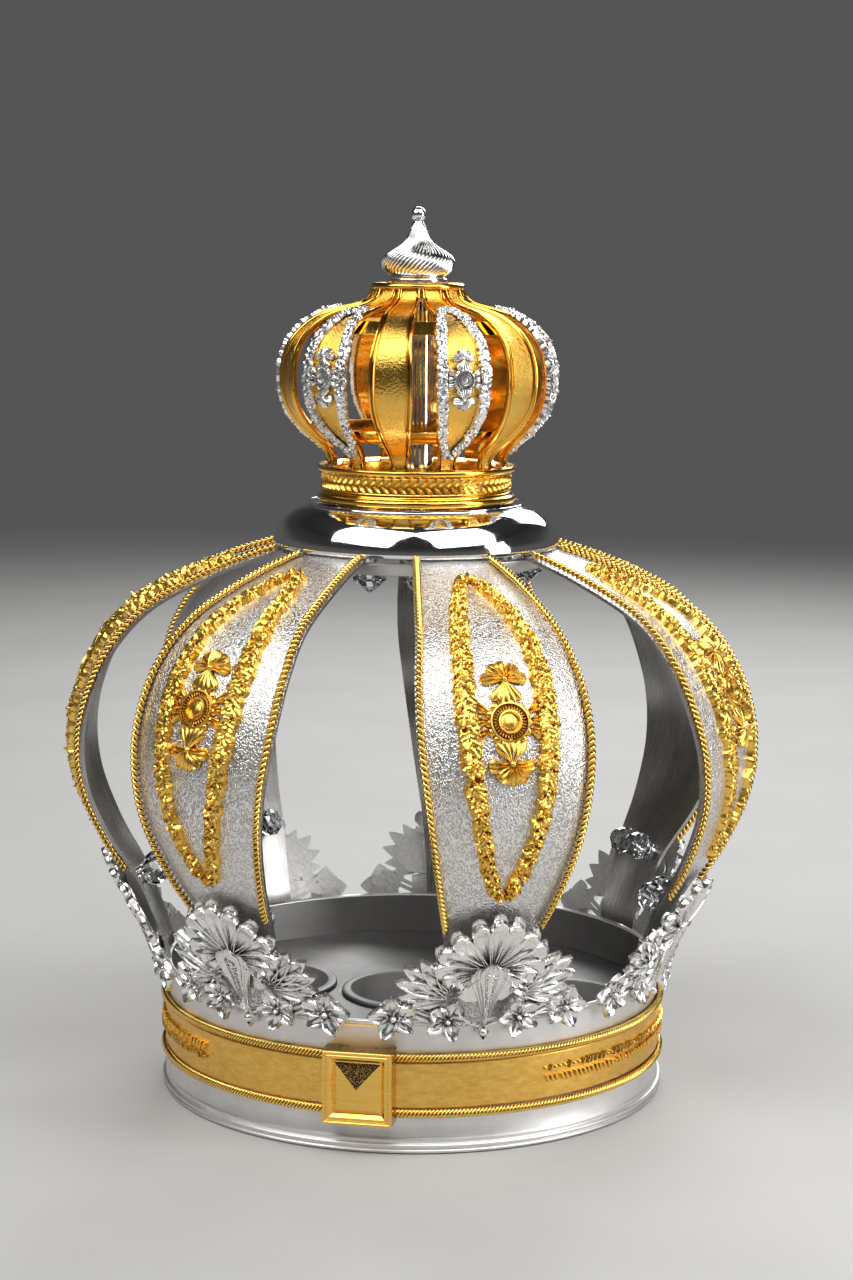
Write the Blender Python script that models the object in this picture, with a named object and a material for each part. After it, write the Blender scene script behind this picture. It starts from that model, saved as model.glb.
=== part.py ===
# Torah crown: a silver ring with a gold band, seven arched ribs with gold scroll work,
# a polished dome, and a small gold crown with a fluted finial on top.
# Origin: centre of the foot's underside. +Z up. The clasp of the band faces -Y.
# Sizes below are in millimetres and degrees; objects are made in metres.

import bpy
import bmesh
from math import sin, cos, pi, radians, hypot
from mathutils import Vector

MM = 0.001
GAP = 0.3                       # air between pieces that are soldered or rest on each other
CURVE_STEPS = 24                # steps between two given points of a rib's curve
RIB_ROWS = 240                  # even steps in which the whole curve is then kept
CUT_MARGIN = 5.0                # how far a cutter stands out of what it cuts

# Base ring, outer side from the rim down, then inner side from the foot up (radius, height)
RING_SEGMENTS = 32
WALL_RADIUS = 97.5
WALL_INNER_RADIUS = 96.0
LEDGE_RADIUS = 92.5
LEDGE_TOP = 31.2
RIM_TOP = 49.7
RING_PROFILE = [
    (97.0, RIM_TOP), (98.5, 49.2), (WALL_RADIUS, 47.4),
    (WALL_RADIUS, 11.8), (97.1, 7.6), (100.0, 3.4), (99.6, 0.0),
    (97.2, 0.0), (WALL_INNER_RADIUS, 4.0), (WALL_INNER_RADIUS, 29.2),
    (LEDGE_RADIUS, 30.0), (LEDGE_RADIUS, LEDGE_TOP), (WALL_INNER_RADIUS, LEDGE_TOP),
]

# Gold band and its two edge ropes
BAND_RADIUS = 98.6
BAND_LOW = 16.9
BAND_HIGH = 34.0
ROPE_LOW_HEIGHT = 14.6
ROPE_HIGH_HEIGHT = 36.3
ROPE_RING_RADIUS = 99.4
ROPE_RING_HALF_DEPTH = 1.5
ROPE_RING_HALF_HEIGHT = 2.1
ROPE_RING_SIDES = 4

# Clasp on the band
BUCKLE_WIDTH = 26.0
BUCKLE_LOW = 11.8
BUCKLE_HIGH = 39.4
BUCKLE_FRONT = 104.5
BUCKLE_BEVEL = 0.7
BUCKLE_FRAME = 2.6
BUCKLE_RECESS = 1.5
BUCKLE_PYRAMID = 3.6
BUCKLE_DEPTH = 2.0              # how far the block starts behind the band's face
BUCKLE_WALL = 0.4               # slope of the recess's wall
BUCKLE_FLOOR = 0.5              # flat strip round the pyramid
BUCKLE_CUT_SEGMENTS = 120

# Floor plate with three round holes in a row, and the sleeves in them
PLATE_RADIUS = 95.4
PLATE_THICKNESS = 1.5
PLATE_SEGMENTS = 32
SLEEVE_SPACING = 60.0
SLEEVE_INNER_RADIUS = 24.6
SLEEVE_OUTER_RADIUS = 26.0
SLEEVE_COLLAR_RADIUS = 28.4
SLEEVE_COLLAR_HEIGHT = 1.4
SLEEVE_FOOT = 12.0
SLEEVE_SEGMENTS = 14
SLEEVES = {"left": -1, "middle": 0, "right": 1}

# Ribs: outer face at the middle of the rib (radius, height, half width), from dome to ring
STAVE_COUNT = 7
STAVE_THICKNESS = 1.2
STAVE_CROWN = 2.6               # how much fuller than round the rib is at its widest
STAVE_WIDEST = 32.8
STAVE_SPANS = 12
STAVE_STRIPS = 2
STAVE_PATH = [
    (50.0, 213.2, 15.0), (57.0, 212.9, 16.0), (80.5, 205.4, 21.5), (105.5, 193.8, 27.2),
    (121.5, 178.5, 31.3), (131.0, 160.0, 32.8), (134.5, 141.0, 31.3), (131.8, 121.0, 28.0),
    (122.2, 100.2, 22.8), (110.5, 82.4, 17.5), (103.2, 66.0, 14.4), (98.9, 55.0, 12.8),
    (98.2, 50.3, 12.6),
]

# Ropes on the ribs' edges
STAVE_ROPE_RADIUS = 1.5
STAVE_ROPE_START = 0.03         # as a share of the rib's length, from the dome
STAVE_ROPE_END = 0.815
STAVE_ROPE_INSET = 1.35         # from the rib's edge to the rope's middle
STAVE_ROPE_SIDES = 4
STAVE_ROPE_CORNER = 1.875       # from the rope's middle to the corners of its bar

# Cast scroll work on the ribs: a lens-shaped border with a medallion and two palmettes
SCROLL_START = 0.10
SCROLL_END = 0.745
SCROLL_HALF_WIDTH = 20.0
SCROLL_BORDER = 8.6
SCROLL_BLUNT = 5.0              # half width of the lens at its two ends
SCROLL_EYE = (0.042, 7.6)       # medallion: half height as a share of the rib, half width
SCROLL_ARM = 2.6                # how far the palmettes reach, in medallion half heights
SCROLL_LIFT = 0.8
SCROLL_THICKNESS = 2.4
SCROLL_SPANS = 12

# Shape shared by both kinds of lens
LENS_ROUNDNESS = 0.9            # power of the half sine that its outline follows
LENS_END_BORDER = 0.21          # the border's depth at the ends against its width at the sides
LENS_END_HOLLOW = 0.25          # half width of the hollow at the ends, in blunt half widths
EYE_SIDES = 8
ARM_SPREAD = 1.05               # half width of a palmette, in medallion half widths
ARM_POINT = 0.45                # how far its point stands past its shoulders

# Palmette leaves at the ribs' feet: back face (radius, height) from the rim up
LEAF_BACK = [
    (99.4, 45.0), (99.9, 51.0), (103.2, 60.0), (107.8, 70.0), (111.9, 78.0), (116.4, 86.0),
    (119.2, 91.0),
]
LEAF_MIDDLE = 62.0
LEAF_TIPS = [
    (90, 28.6), (68, 27.4), (49, 29.0), (30, 35.6), (9, 35.0), (-15, 42.5), (-44, 24.0),
    (-90, 17.0),
]
LEAF_NOTCH = 0.83               # depth of the notches between the lobes
LEAF_ROUND = 102.0               # radius that its width is bent round
LEAF_RIDGE = 0.58               # where the ridge runs, from the middle to a notch
LEAF_EDGE_THICKNESS = 1.5
LEAF_RIDGE_THICKNESS = 2.6
LEAF_BOSS_THICKNESS = 4.2

# Collar and dome (outer side from the top down, then the inner side)
COLLAR_SEGMENTS = 21
COLLAR_PROFILE = [(53.4, 211.7), (52.6, 207.2), (49.4, 207.2), (48.6, 211.7)]
DOME_SEGMENTS = 28
DOME_PROFILE = [
    (0.0, 230.9), (42.0, 230.9), (42.4, 229.6), (47.2, 228.6), (53.4, 223.5),
    (56.0, 216.0), (55.4, 213.7), (54.0, 213.9), (51.8, 222.3), (46.0, 227.4), (0.0, 229.3),
]

# Small crown
SMALL_BASE_SEGMENTS = 24
SMALL_BASE_PROFILE = [
    (38.4, 245.2), (38.4, 242.4), (36.3, 241.6), (36.3, 234.4), (38.8, 233.6), (38.8, 231.3),
    (31.0, 231.3), (31.0, 245.2),
]
SMALL_STAVE_COUNT = 12
SMALL_STAVE_SPANS = 12
SMALL_STAVE_THICKNESS = 1.4
SMALL_STAVE_PATH = [
    (35.0, 245.5, 3.6), (34.8, 247.8, 3.3), (36.0, 250.6, 3.9), (39.2, 253.9, 5.0),
    (43.8, 257.9, 6.1), (48.4, 262.9, 7.2), (51.8, 269.2, 8.1), (53.2, 276.6, 8.4),
    (52.9, 284.6, 8.3), (50.2, 292.4, 7.6), (45.0, 298.6, 6.9), (38.6, 302.8, 6.3),
    (32.0, 305.0, 5.7), (26.0, 306.4, 5.2), (21.4, 307.9, 4.7), (18.6, 310.2, 4.3),
    (17.5, 313.2, 4.2),
]
SMALL_STAVE_WIDEST = 8.4
HOOP_SEGMENTS = 24
HOOP_THICKNESS = 1.5
HOOP_INSET = 3.9                # from the ribs' outer face to the hoop's
HOOP_BANDS = {"lower": (255.2, 260.2), "upper": (296.4, 301.2)}
TOP_DISC_RADIUS = 18.4
TOP_DISC_LOW = 312.0
TOP_DISC_HIGH = 315.4
TOP_DISC_SEGMENTS = 24
ROD_RADIUS = 6.5
ROD_SEGMENTS = 16
SMALL_SCROLL_START = 0.07
SMALL_SCROLL_END = 0.82
SMALL_SCROLL_HALF_WIDTH = 10.6
SMALL_SCROLL_BORDER = 3.6
SMALL_SCROLL_BLUNT = 2.4
SMALL_SCROLL_EYE = (0.052, 4.0)
SMALL_SCROLL_ARM = 2.2
SMALL_SCROLL_LIFT = 0.8
SMALL_SCROLL_THICKNESS = 1.5
SMALL_SCROLL_SPANS = 9

# Finial: an onion with swirled flutes, then neck, ball and tip
FINIAL_FLUTES = 10
FINIAL_FLUTE_DEPTH = 0.55
FINIAL_SWIRL = 70.0             # degrees that a flute turns from the onion's foot to its neck
FINIAL_ONION = (318.6, 336.0)   # the flutes run between these heights
FINIAL_PLAIN_RADIUS = 3.5       # nothing narrower than this is fluted
FINIAL_PROFILE = [
    (0.0, 344.3), (2.9, 341.4), (1.8, 338.0), (2.8, 336.0),
    (4.2, 331.6), (11.4, 326.2), (13.7, 322.6), (10.4, 318.6),
    (11.2, 317.2), (11.2, 315.7), (0.0, 315.7),
]

# Colours (linear red, green, blue), metallic, roughness
SILVER = ((0.72, 0.71, 0.70), 1.0, 0.22)
SATIN_SILVER = ((0.50, 0.49, 0.48), 1.0, 0.42)
BRIGHT_SILVER = ((0.86, 0.86, 0.87), 1.0, 0.08)
GOLD = ((0.79, 0.51, 0.13), 1.0, 0.24)
BRUSHED_GOLD = ((0.72, 0.47, 0.14), 1.0, 0.38)


def clear_scene():
    for item in list(bpy.data.objects):
        bpy.data.objects.remove(item, do_unlink=True)


def metal(name, look):
    """One Principled material for one piece."""
    colour, metallic, roughness = look
    material = bpy.data.materials.new(name + "_metal")
    material.use_nodes = True
    shader = material.node_tree.nodes["Principled BSDF"]
    shader.inputs["Base Color"].default_value = (*colour, 1.0)
    shader.inputs["Metallic"].default_value = metallic
    shader.inputs["Roughness"].default_value = roughness
    material.diffuse_color = (*colour, 1.0)
    return material


def add_object(name, bm, look, sharp_angle=35.0):
    """Put a finished bmesh, in millimetres, into the scene in metres."""
    bmesh.ops.recalc_face_normals(bm, faces=bm.faces)
    if bm.calc_volume(signed=True) < 0:
        bmesh.ops.reverse_faces(bm, faces=bm.faces)
    bmesh.ops.scale(bm, vec=(MM, MM, MM), verts=bm.verts)
    mesh = bpy.data.meshes.new(name)
    bm.to_mesh(mesh)
    bm.free()
    mesh.shade_smooth()
    mesh.set_sharp_from_angle(angle=radians(sharp_angle))
    piece = bpy.data.objects.new(name, mesh)
    bpy.context.collection.objects.link(piece)
    mesh.materials.append(metal(name, look))
    return piece


def polar(radius, height, turn):
    """Point at a radius and height, turned from -Y towards +X by an angle in radians."""
    return Vector((radius * sin(turn), -radius * cos(turn), height))


def smooth_path(points, steps):
    """Catmull-Rom curve through the points, resampled evenly by its length."""
    fine = []
    ends = [points[0]] + list(points) + [points[-1]]
    for before, start, end, after in zip(ends, ends[1:], ends[2:], ends[3:]):
        for k in range(CURVE_STEPS):
            t = k / CURVE_STEPS
            fine.append([
                0.5 * (2 * b + (c - a) * t + (2 * a - 5 * b + 4 * c - d) * t ** 2
                       + (3 * b - a - 3 * c + d) * t ** 3)
                for a, b, c, d in zip(before, start, end, after)
            ])
    fine.append(list(points[-1]))
    lengths = [0.0]
    for here, there in zip(fine, fine[1:]):
        lengths.append(lengths[-1] + hypot(there[0] - here[0], there[1] - here[1]))
    even = []
    k = 0
    for step in range(steps + 1):
        goal = lengths[-1] * step / steps
        while k < len(lengths) - 2 and lengths[k + 1] < goal:
            k += 1
        share = (goal - lengths[k]) / (lengths[k + 1] - lengths[k])
        even.append([a + (b - a) * share for a, b in zip(fine[k], fine[k + 1])])
    return even


class Rib:
    """A rib's outer face as a surface: share of its length, share of its half width, lift."""

    def __init__(self, path, crown, widest):
        self.rows = smooth_path(path, RIB_ROWS)
        self.crown = crown
        self.widest = widest

    def row(self, share):
        place = min(max(share, 0.0), 1.0) * (len(self.rows) - 1)
        k = min(int(place), len(self.rows) - 2)
        part = place - k
        radius, height, half = [
            a + (b - a) * part for a, b in zip(self.rows[k], self.rows[k + 1])
        ]
        low = self.rows[max(k - 3, 0)]
        high = self.rows[min(k + 4, len(self.rows) - 1)]
        run = Vector((high[0] - low[0], high[1] - low[1])).normalized()
        normal = Vector((-run.y, run.x))
        if run.y > 0:
            normal = -normal
        return radius, height, half, normal

    def point(self, share, across, lift, turn):
        """across is in millimetres round the rib's face, lift stands off it."""
        radius, height, half, normal = self.row(share)
        drop = self.crown * (half / self.widest) ** 2 * (across / half) ** 2
        lift = lift - drop
        angle = turn + across / radius
        return polar(radius + normal.x * lift, height + normal.y * lift, angle)


def turned(profile, segments, start=0.0, end=360.0):
    """Closed profile of (radius, height) turned round Z. It may start and end on the axis."""
    bm = bmesh.new()
    full = abs(end - start - 360.0) < 1e-6
    steps = segments if full else segments + 1
    rings = []
    for radius, height in profile:
        if radius == 0.0:
            rings.append(None)
        else:
            rings.append([
                bm.verts.new(polar(radius, height, radians(start + (end - start) * k / segments)))
                for k in range(steps)
            ])
    pairs = list(zip(range(len(rings)), range(1, len(rings))))
    if rings[0] and rings[-1]:
        pairs.append((len(rings) - 1, 0))
    for upper, lower in pairs:
        if rings[upper] and rings[lower]:
            for k in range(segments):
                following = (k + 1) % steps
                bm.faces.new((rings[upper][k], rings[upper][following],
                              rings[lower][following], rings[lower][k]))
        elif rings[upper] or rings[lower]:
            ring, pole = (rings[upper], lower) if rings[upper] else (rings[lower], upper)
            if abs(ring[0].co.z - profile[pole][1]) < 1e-6:
                bm.faces.new(ring)
            else:
                tip = bm.verts.new((0.0, 0.0, profile[pole][1]))
                for here, there in zip(ring, ring[1:] + ring[:1]):
                    bm.faces.new((here, there, tip))
    if not full:
        bm.faces.new([ring[0] for ring in rings])
        bm.faces.new([ring[-1] for ring in rings])
    return bm


def closed_shell(outer, inner):
    """Two equal grids of points, joined along their edges into one closed body."""
    bm = bmesh.new()
    sheets = [[[bm.verts.new(p) for p in row] for row in grid] for grid in (outer, inner)]
    rows = len(outer)
    columns = len(outer[0])
    edge = [(0, j) for j in range(columns)]
    edge += [(i, columns - 1) for i in range(1, rows)]
    edge += [(rows - 1, j) for j in range(columns - 2, -1, -1)]
    edge += [(i, 0) for i in range(rows - 2, 0, -1)]
    front, back = sheets
    cells = [(i, j) for i in range(rows - 1) for j in range(columns - 1)]
    for i, j in cells:
        bm.faces.new((back[i][j], back[i][j + 1], back[i + 1][j + 1], back[i + 1][j]))
    for here, there in zip(edge, edge[1:] + edge[:1]):
        bm.faces.new((front[here[0]][here[1]], front[there[0]][there[1]],
                      back[there[0]][there[1]], back[here[0]][here[1]]))
    for i, j in cells:
        bm.faces.new((front[i][j], front[i][j + 1], front[i + 1][j + 1], front[i + 1][j]))
    return bm


def thick_pattern(faces, place, low, high):
    """Flat pattern, given as faces of (along, across) points, placed and given a thickness."""
    keys = list(dict.fromkeys(point for face in faces for point in face))
    bm = bmesh.new()
    bottom = {key: bm.verts.new(place(key[0], key[1], low)) for key in keys}
    top = {key: bm.verts.new(place(key[0], key[1], high)) for key in keys}
    uses = {}
    for face in faces:
        bm.faces.new([top[key] for key in face])
        bm.faces.new([bottom[key] for key in reversed(face)])
        for here, there in zip(face, face[1:] + face[:1]):
            uses.setdefault(frozenset((here, there)), []).append((here, there))
    for owners in uses.values():
        if len(owners) == 1:
            here, there = owners[0]
            bm.faces.new((top[here], bottom[here], bottom[there], top[there]))
    return bm


def rib_angles(count, first):
    """Evenly spaced rib directions, in radians from the clasp."""
    return [radians(first + 360.0 * k / count) for k in range(count)]


def make_base_ring():
    add_object("base_ring", turned(RING_PROFILE, RING_SEGMENTS), SILVER)


def make_band():
    profile = [
        (BAND_RADIUS, BAND_HIGH), (BAND_RADIUS, BAND_LOW),
        (WALL_RADIUS + GAP, BAND_LOW), (WALL_RADIUS + GAP, BAND_HIGH),
    ]
    add_object("gold_band", turned(profile, RING_SEGMENTS), BRUSHED_GOLD)
    buckle_turn = (BUCKLE_WIDTH / 2 + GAP) / ROPE_RING_RADIUS * 180.0 / pi
    for name, height in (("lower", ROPE_LOW_HEIGHT), ("upper", ROPE_HIGH_HEIGHT)):
        section = []
        for k in range(ROPE_RING_SIDES):
            angle = 2 * pi * k / ROPE_RING_SIDES
            section.append((ROPE_RING_RADIUS + ROPE_RING_HALF_DEPTH * cos(angle),
                            height - ROPE_RING_HALF_HEIGHT * sin(angle)))
        rope = turned(section, RING_SEGMENTS, buckle_turn, 360.0 - buckle_turn)
        add_object("band_rope_" + name, rope, GOLD)


def make_buckle():
    """Block with a bevelled front, a framed recess and a low pyramid in it."""
    half = BUCKLE_WIDTH / 2
    back = -(BAND_RADIUS - BUCKLE_DEPTH)
    front = -BUCKLE_FRONT
    bm = bmesh.new()
    middle = (BUCKLE_LOW + BUCKLE_HIGH) / 2
    tall = (BUCKLE_HIGH - BUCKLE_LOW) / 2

    def loop(inset, depth):
        return [
            bm.verts.new((x * (half - inset), depth, middle + z * (tall - inset)))
            for x, z in ((-1, -1), (1, -1), (1, 1), (-1, 1))
        ]

    recess = front + BUCKLE_RECESS
    loops = [
        loop(0.0, back), loop(0.0, front + BUCKLE_BEVEL), loop(BUCKLE_BEVEL, front),
        loop(BUCKLE_FRAME, front), loop(BUCKLE_FRAME + BUCKLE_WALL, recess),
        loop(BUCKLE_FRAME + BUCKLE_WALL + BUCKLE_FLOOR, recess),
    ]
    for outer, inner in zip(loops, loops[1:]):
        for k in range(4):
            following = (k + 1) % 4
            bm.faces.new((outer[k], outer[following], inner[following], inner[k]))
    bm.faces.new(reversed(loops[0]))
    apex = bm.verts.new((0.0, recess - BUCKLE_PYRAMID + BUCKLE_BEVEL, middle))
    for k in range(4):
        bm.faces.new((loops[-1][k], loops[-1][(k + 1) % 4], apex))
    buckle = add_object("band_buckle", bm, GOLD, 20.0)

    top = BUCKLE_HIGH + BUCKLE_LOW
    cutter_profile = [(0.0, top), (BAND_RADIUS + GAP, top), (BAND_RADIUS + GAP, 0.0), (0.0, 0.0)]
    cutter = add_object("buckle_cutter", turned(cutter_profile, BUCKLE_CUT_SEGMENTS), GOLD)
    cutter.hide_render = True
    cutter.display_type = "WIRE"
    cut = buckle.modifiers.new("back", "BOOLEAN")
    cut.operation = "DIFFERENCE"
    cut.solver = "EXACT"
    cut.object = cutter


def make_plate():
    """Round floor plate on the ledge of the ring, and the three sleeves through it."""
    low = LEDGE_TOP + GAP
    high = low + PLATE_THICKNESS
    disc = turned([(0.0, high), (PLATE_RADIUS, high), (PLATE_RADIUS, low), (0.0, low)],
                  PLATE_SEGMENTS)
    plate = add_object("roller_plate", disc, SATIN_SILVER)
    hole = SLEEVE_OUTER_RADIUS + GAP
    for side, step in SLEEVES.items():
        drill = turned([(0.0, high + CUT_MARGIN), (hole, high + CUT_MARGIN),
                        (hole, low - CUT_MARGIN), (0.0, low - CUT_MARGIN)], SLEEVE_SEGMENTS)
        bmesh.ops.translate(drill, vec=(step * SLEEVE_SPACING, 0.0, 0.0), verts=drill.verts)
        drill_object = add_object("drill_" + side, drill, SATIN_SILVER)
        drill_object.hide_render = True
        drill_object.display_type = "WIRE"
        cut = plate.modifiers.new("hole_" + side, "BOOLEAN")
        cut.operation = "DIFFERENCE"
        cut.solver = "EXACT"
        cut.object = drill_object

        collar = high + GAP
        profile = [
            (SLEEVE_COLLAR_RADIUS, collar + SLEEVE_COLLAR_HEIGHT), (SLEEVE_COLLAR_RADIUS, collar),
            (SLEEVE_OUTER_RADIUS, collar), (SLEEVE_OUTER_RADIUS, SLEEVE_FOOT),
            (SLEEVE_INNER_RADIUS, SLEEVE_FOOT), (SLEEVE_INNER_RADIUS, collar + SLEEVE_COLLAR_HEIGHT),
        ]
        sleeve = turned(profile, SLEEVE_SEGMENTS)
        bmesh.ops.translate(sleeve, vec=(step * SLEEVE_SPACING, 0.0, 0.0), verts=sleeve.verts)
        add_object("roller_sleeve_" + side, sleeve, SATIN_SILVER)


def make_staves():
    rib = Rib(STAVE_PATH, STAVE_CROWN, STAVE_WIDEST)
    for number, turn in enumerate(rib_angles(STAVE_COUNT, 180.0 / STAVE_COUNT), start=1):
        sheets = []
        for lift in (0.0, -STAVE_THICKNESS):
            sheet = []
            for i in range(STAVE_SPANS + 1):
                share = i / STAVE_SPANS
                half = rib.row(share)[2]
                sheet.append([
                    rib.point(share, half * (2 * j / STAVE_STRIPS - 1), lift, turn)
                    for j in range(STAVE_STRIPS + 1)
                ])
            sheets.append(sheet)
        add_object(f"stave_{number}", closed_shell(*sheets), SILVER)
        for side, sign in (("left", -1), ("right", 1)):
            add_object(f"stave_rope_{number}_{side}", stave_rope(rib, turn, sign), GOLD)
        add_object(f"stave_scroll_{number}", stave_scroll(rib, turn), GOLD)
        add_object(f"leaf_{number}", leaf(turn), BRIGHT_SILVER)


def stave_rope(rib, turn, sign):
    """Wire of four flats along one edge of a rib; it bends only where the rib's facets do."""
    shares = [STAVE_ROPE_START]
    shares += [i / STAVE_SPANS for i in range(STAVE_SPANS + 1)
               if STAVE_ROPE_START < i / STAVE_SPANS < STAVE_ROPE_END]
    shares.append(STAVE_ROPE_END)
    bm = bmesh.new()
    rings = []
    for share in shares:
        edge = sign * (rib.row(share)[2] - STAVE_ROPE_INSET)
        ring = []
        for k in range(STAVE_ROPE_SIDES):
            angle = pi / STAVE_ROPE_SIDES * (2 * k + 1)
            across = edge + sign * STAVE_ROPE_CORNER * cos(angle)
            lift = GAP + STAVE_ROPE_RADIUS + STAVE_ROPE_CORNER * sin(angle)
            ring.append(bm.verts.new(rib.point(share, across, lift, turn)))
        rings.append(ring)
    for here, there in zip(rings, rings[1:]):
        for k in range(STAVE_ROPE_SIDES):
            following = (k + 1) % STAVE_ROPE_SIDES
            bm.faces.new((here[k], here[following], there[following], there[k]))
    bm.faces.new(rings[0])
    bm.faces.new(rings[-1])
    return bm


def lens_half_width(share, start, end, widest, blunt):
    """Half width of a pointed lens between two shares of the rib's length."""
    place = (share - start) / (end - start)
    return blunt + (widest - blunt) * sin(pi * place) ** LENS_ROUNDNESS


def lens_pattern(start, end, widest, blunt, border, spans, eye, arm):
    """Lens-shaped border with a round eye held by four arms, in (share, across) points."""
    outer = []
    inner = []
    slip = LENS_END_BORDER * border / widest * (end - start)
    for k in range(spans + 1):
        part = k / spans
        share = start + (end - start) * part
        within = start + slip + (end - start - 2 * slip) * part
        full = lens_half_width(share, start, end, widest, blunt)
        outer.append((share, full))
        hollow = lens_half_width(within, start, end, widest, blunt) - border
        inner.append((within, max(hollow, blunt * LENS_END_HOLLOW)))
    faces = []
    for sign in (-1, 1):
        for k in range(spans):
            quad = [(outer[k][0], sign * outer[k][1]), (outer[k + 1][0], sign * outer[k + 1][1]),
                    (inner[k + 1][0], sign * inner[k + 1][1]), (inner[k][0], sign * inner[k][1])]
            faces.append(quad if sign > 0 else quad[::-1])
    for k in (0, spans):
        cap = [(outer[k][0], -outer[k][1]), (outer[k][0], outer[k][1]),
               (inner[k][0], inner[k][1]), (inner[k][0], -inner[k][1])]
        faces.append(cap if k == 0 else cap[::-1])
    centre = spans // 2
    left = [(inner[centre + s][0], -inner[centre + s][1]) for s in (-1, 0, 1)]
    right = [(inner[centre + s][0], inner[centre + s][1]) for s in (-1, 0, 1)]
    eye_share, eye_across = eye
    ring = []
    for k in range(EYE_SIDES):
        angle = pi / EYE_SIDES * (2 * k + 1)
        ring.append((left[1][0] + eye_share * sin(angle), eye_across * cos(angle)))
    faces.append(ring[::-1])
    faces.append([ring[0], right[2], right[1], ring[7]][::-1])
    faces.append([ring[7], right[1], right[0]][::-1])
    faces.append([ring[3], ring[4], left[1], left[2]][::-1])
    faces.append([ring[4], left[0], left[1]][::-1])
    for sign, first, second in ((1, ring[1], ring[2]), (-1, ring[5], ring[6])):
        reach = left[1][0] + sign * eye_share * arm
        spread = eye_across * ARM_SPREAD
        fan = [first, second, (reach, -spread * sign),
               (reach + sign * eye_share * ARM_POINT, 0.0), (reach, spread * sign)]
        faces.append(fan[::-1])
    return faces


def stave_scroll(rib, turn):
    pattern = lens_pattern(SCROLL_START, SCROLL_END, SCROLL_HALF_WIDTH, SCROLL_BLUNT,
                           SCROLL_BORDER, SCROLL_SPANS, SCROLL_EYE, SCROLL_ARM)

    def place(share, across, lift):
        return rib.point(share, across, lift, turn)

    return thick_pattern(pattern, place, SCROLL_LIFT, SCROLL_LIFT + SCROLL_THICKNESS)


def leaf_back_radius(height):
    for (r0, z0), (r1, z1) in zip(LEAF_BACK, LEAF_BACK[1:]):
        if height <= z1:
            return r0 + (r1 - r0) * (height - z0) / (z1 - z0)
    return LEAF_BACK[-1][0]


def leaf_outline():
    """Lobe tips and the notches between them, right side then mirrored to the left."""
    tips = [(radians(angle), reach) for angle, reach in LEAF_TIPS]
    right = []
    for (a0, r0), (a1, r1) in zip(tips, tips[1:]):
        right.append((a0, r0, True))
        right.append(((a0 + a1) / 2, (r0 + r1) / 2 * LEAF_NOTCH, False))
    bottom = [(tips[-1][0], tips[-1][1], True)]
    left = [(pi - angle, reach, tip) for angle, reach, tip in right[1:]]
    return right + bottom + left[::-1]


def leaf(turn):
    """Lobed palmette: flat back that follows the ring and the rib, ridged front."""
    outline = leaf_outline()
    bm = bmesh.new()

    def place(angle, reach, lift):
        x = reach * cos(angle)
        height = LEAF_MIDDLE + reach * sin(angle)
        radius = leaf_back_radius(height)
        return bm.verts.new(polar(radius + lift, height, turn + x / LEAF_ROUND))

    sides = {}
    for face, lifts in (("back", (0.0, 0.0, 0.0)),
                        ("front", (LEAF_EDGE_THICKNESS, LEAF_RIDGE_THICKNESS, LEAF_BOSS_THICKNESS))):
        rim = [place(angle, reach, lifts[0]) for angle, reach, tip in outline]
        notches = [k for k, point in enumerate(outline) if not point[2]]
        middle = {k: place(outline[k][0], outline[k][1] * LEAF_RIDGE, lifts[1]) for k in notches}
        centre = place(0.0, 0.0, lifts[2])
        for here, there in zip(notches, notches[1:] + notches[:1]):
            tip = (here + 1) % len(outline)
            bm.faces.new((rim[here], rim[tip], middle[here]))
            bm.faces.new((rim[tip], rim[there], middle[there]))
            bm.faces.new((rim[tip], middle[there], middle[here]))
            bm.faces.new((middle[here], middle[there], centre))
        sides[face] = rim
    count = len(outline)
    for k in range(count):
        following = (k + 1) % count
        bm.faces.new((sides["front"][k], sides["front"][following],
                      sides["back"][following], sides["back"][k]))
    return bm


def make_dome():
    add_object("collar", turned(COLLAR_PROFILE, COLLAR_SEGMENTS), SILVER)
    add_object("dome", turned(DOME_PROFILE, DOME_SEGMENTS), BRIGHT_SILVER)


def rib_radius_at(rib, height):
    return min((abs(row[1] - height), row[0]) for row in rib.rows)[1]


def unite(target, tool, name):
    tool.hide_render = True
    tool.display_type = "WIRE"
    join = target.modifiers.new(name, "BOOLEAN")
    join.operation = "UNION"
    join.solver = "EXACT"
    join.object = tool


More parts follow.
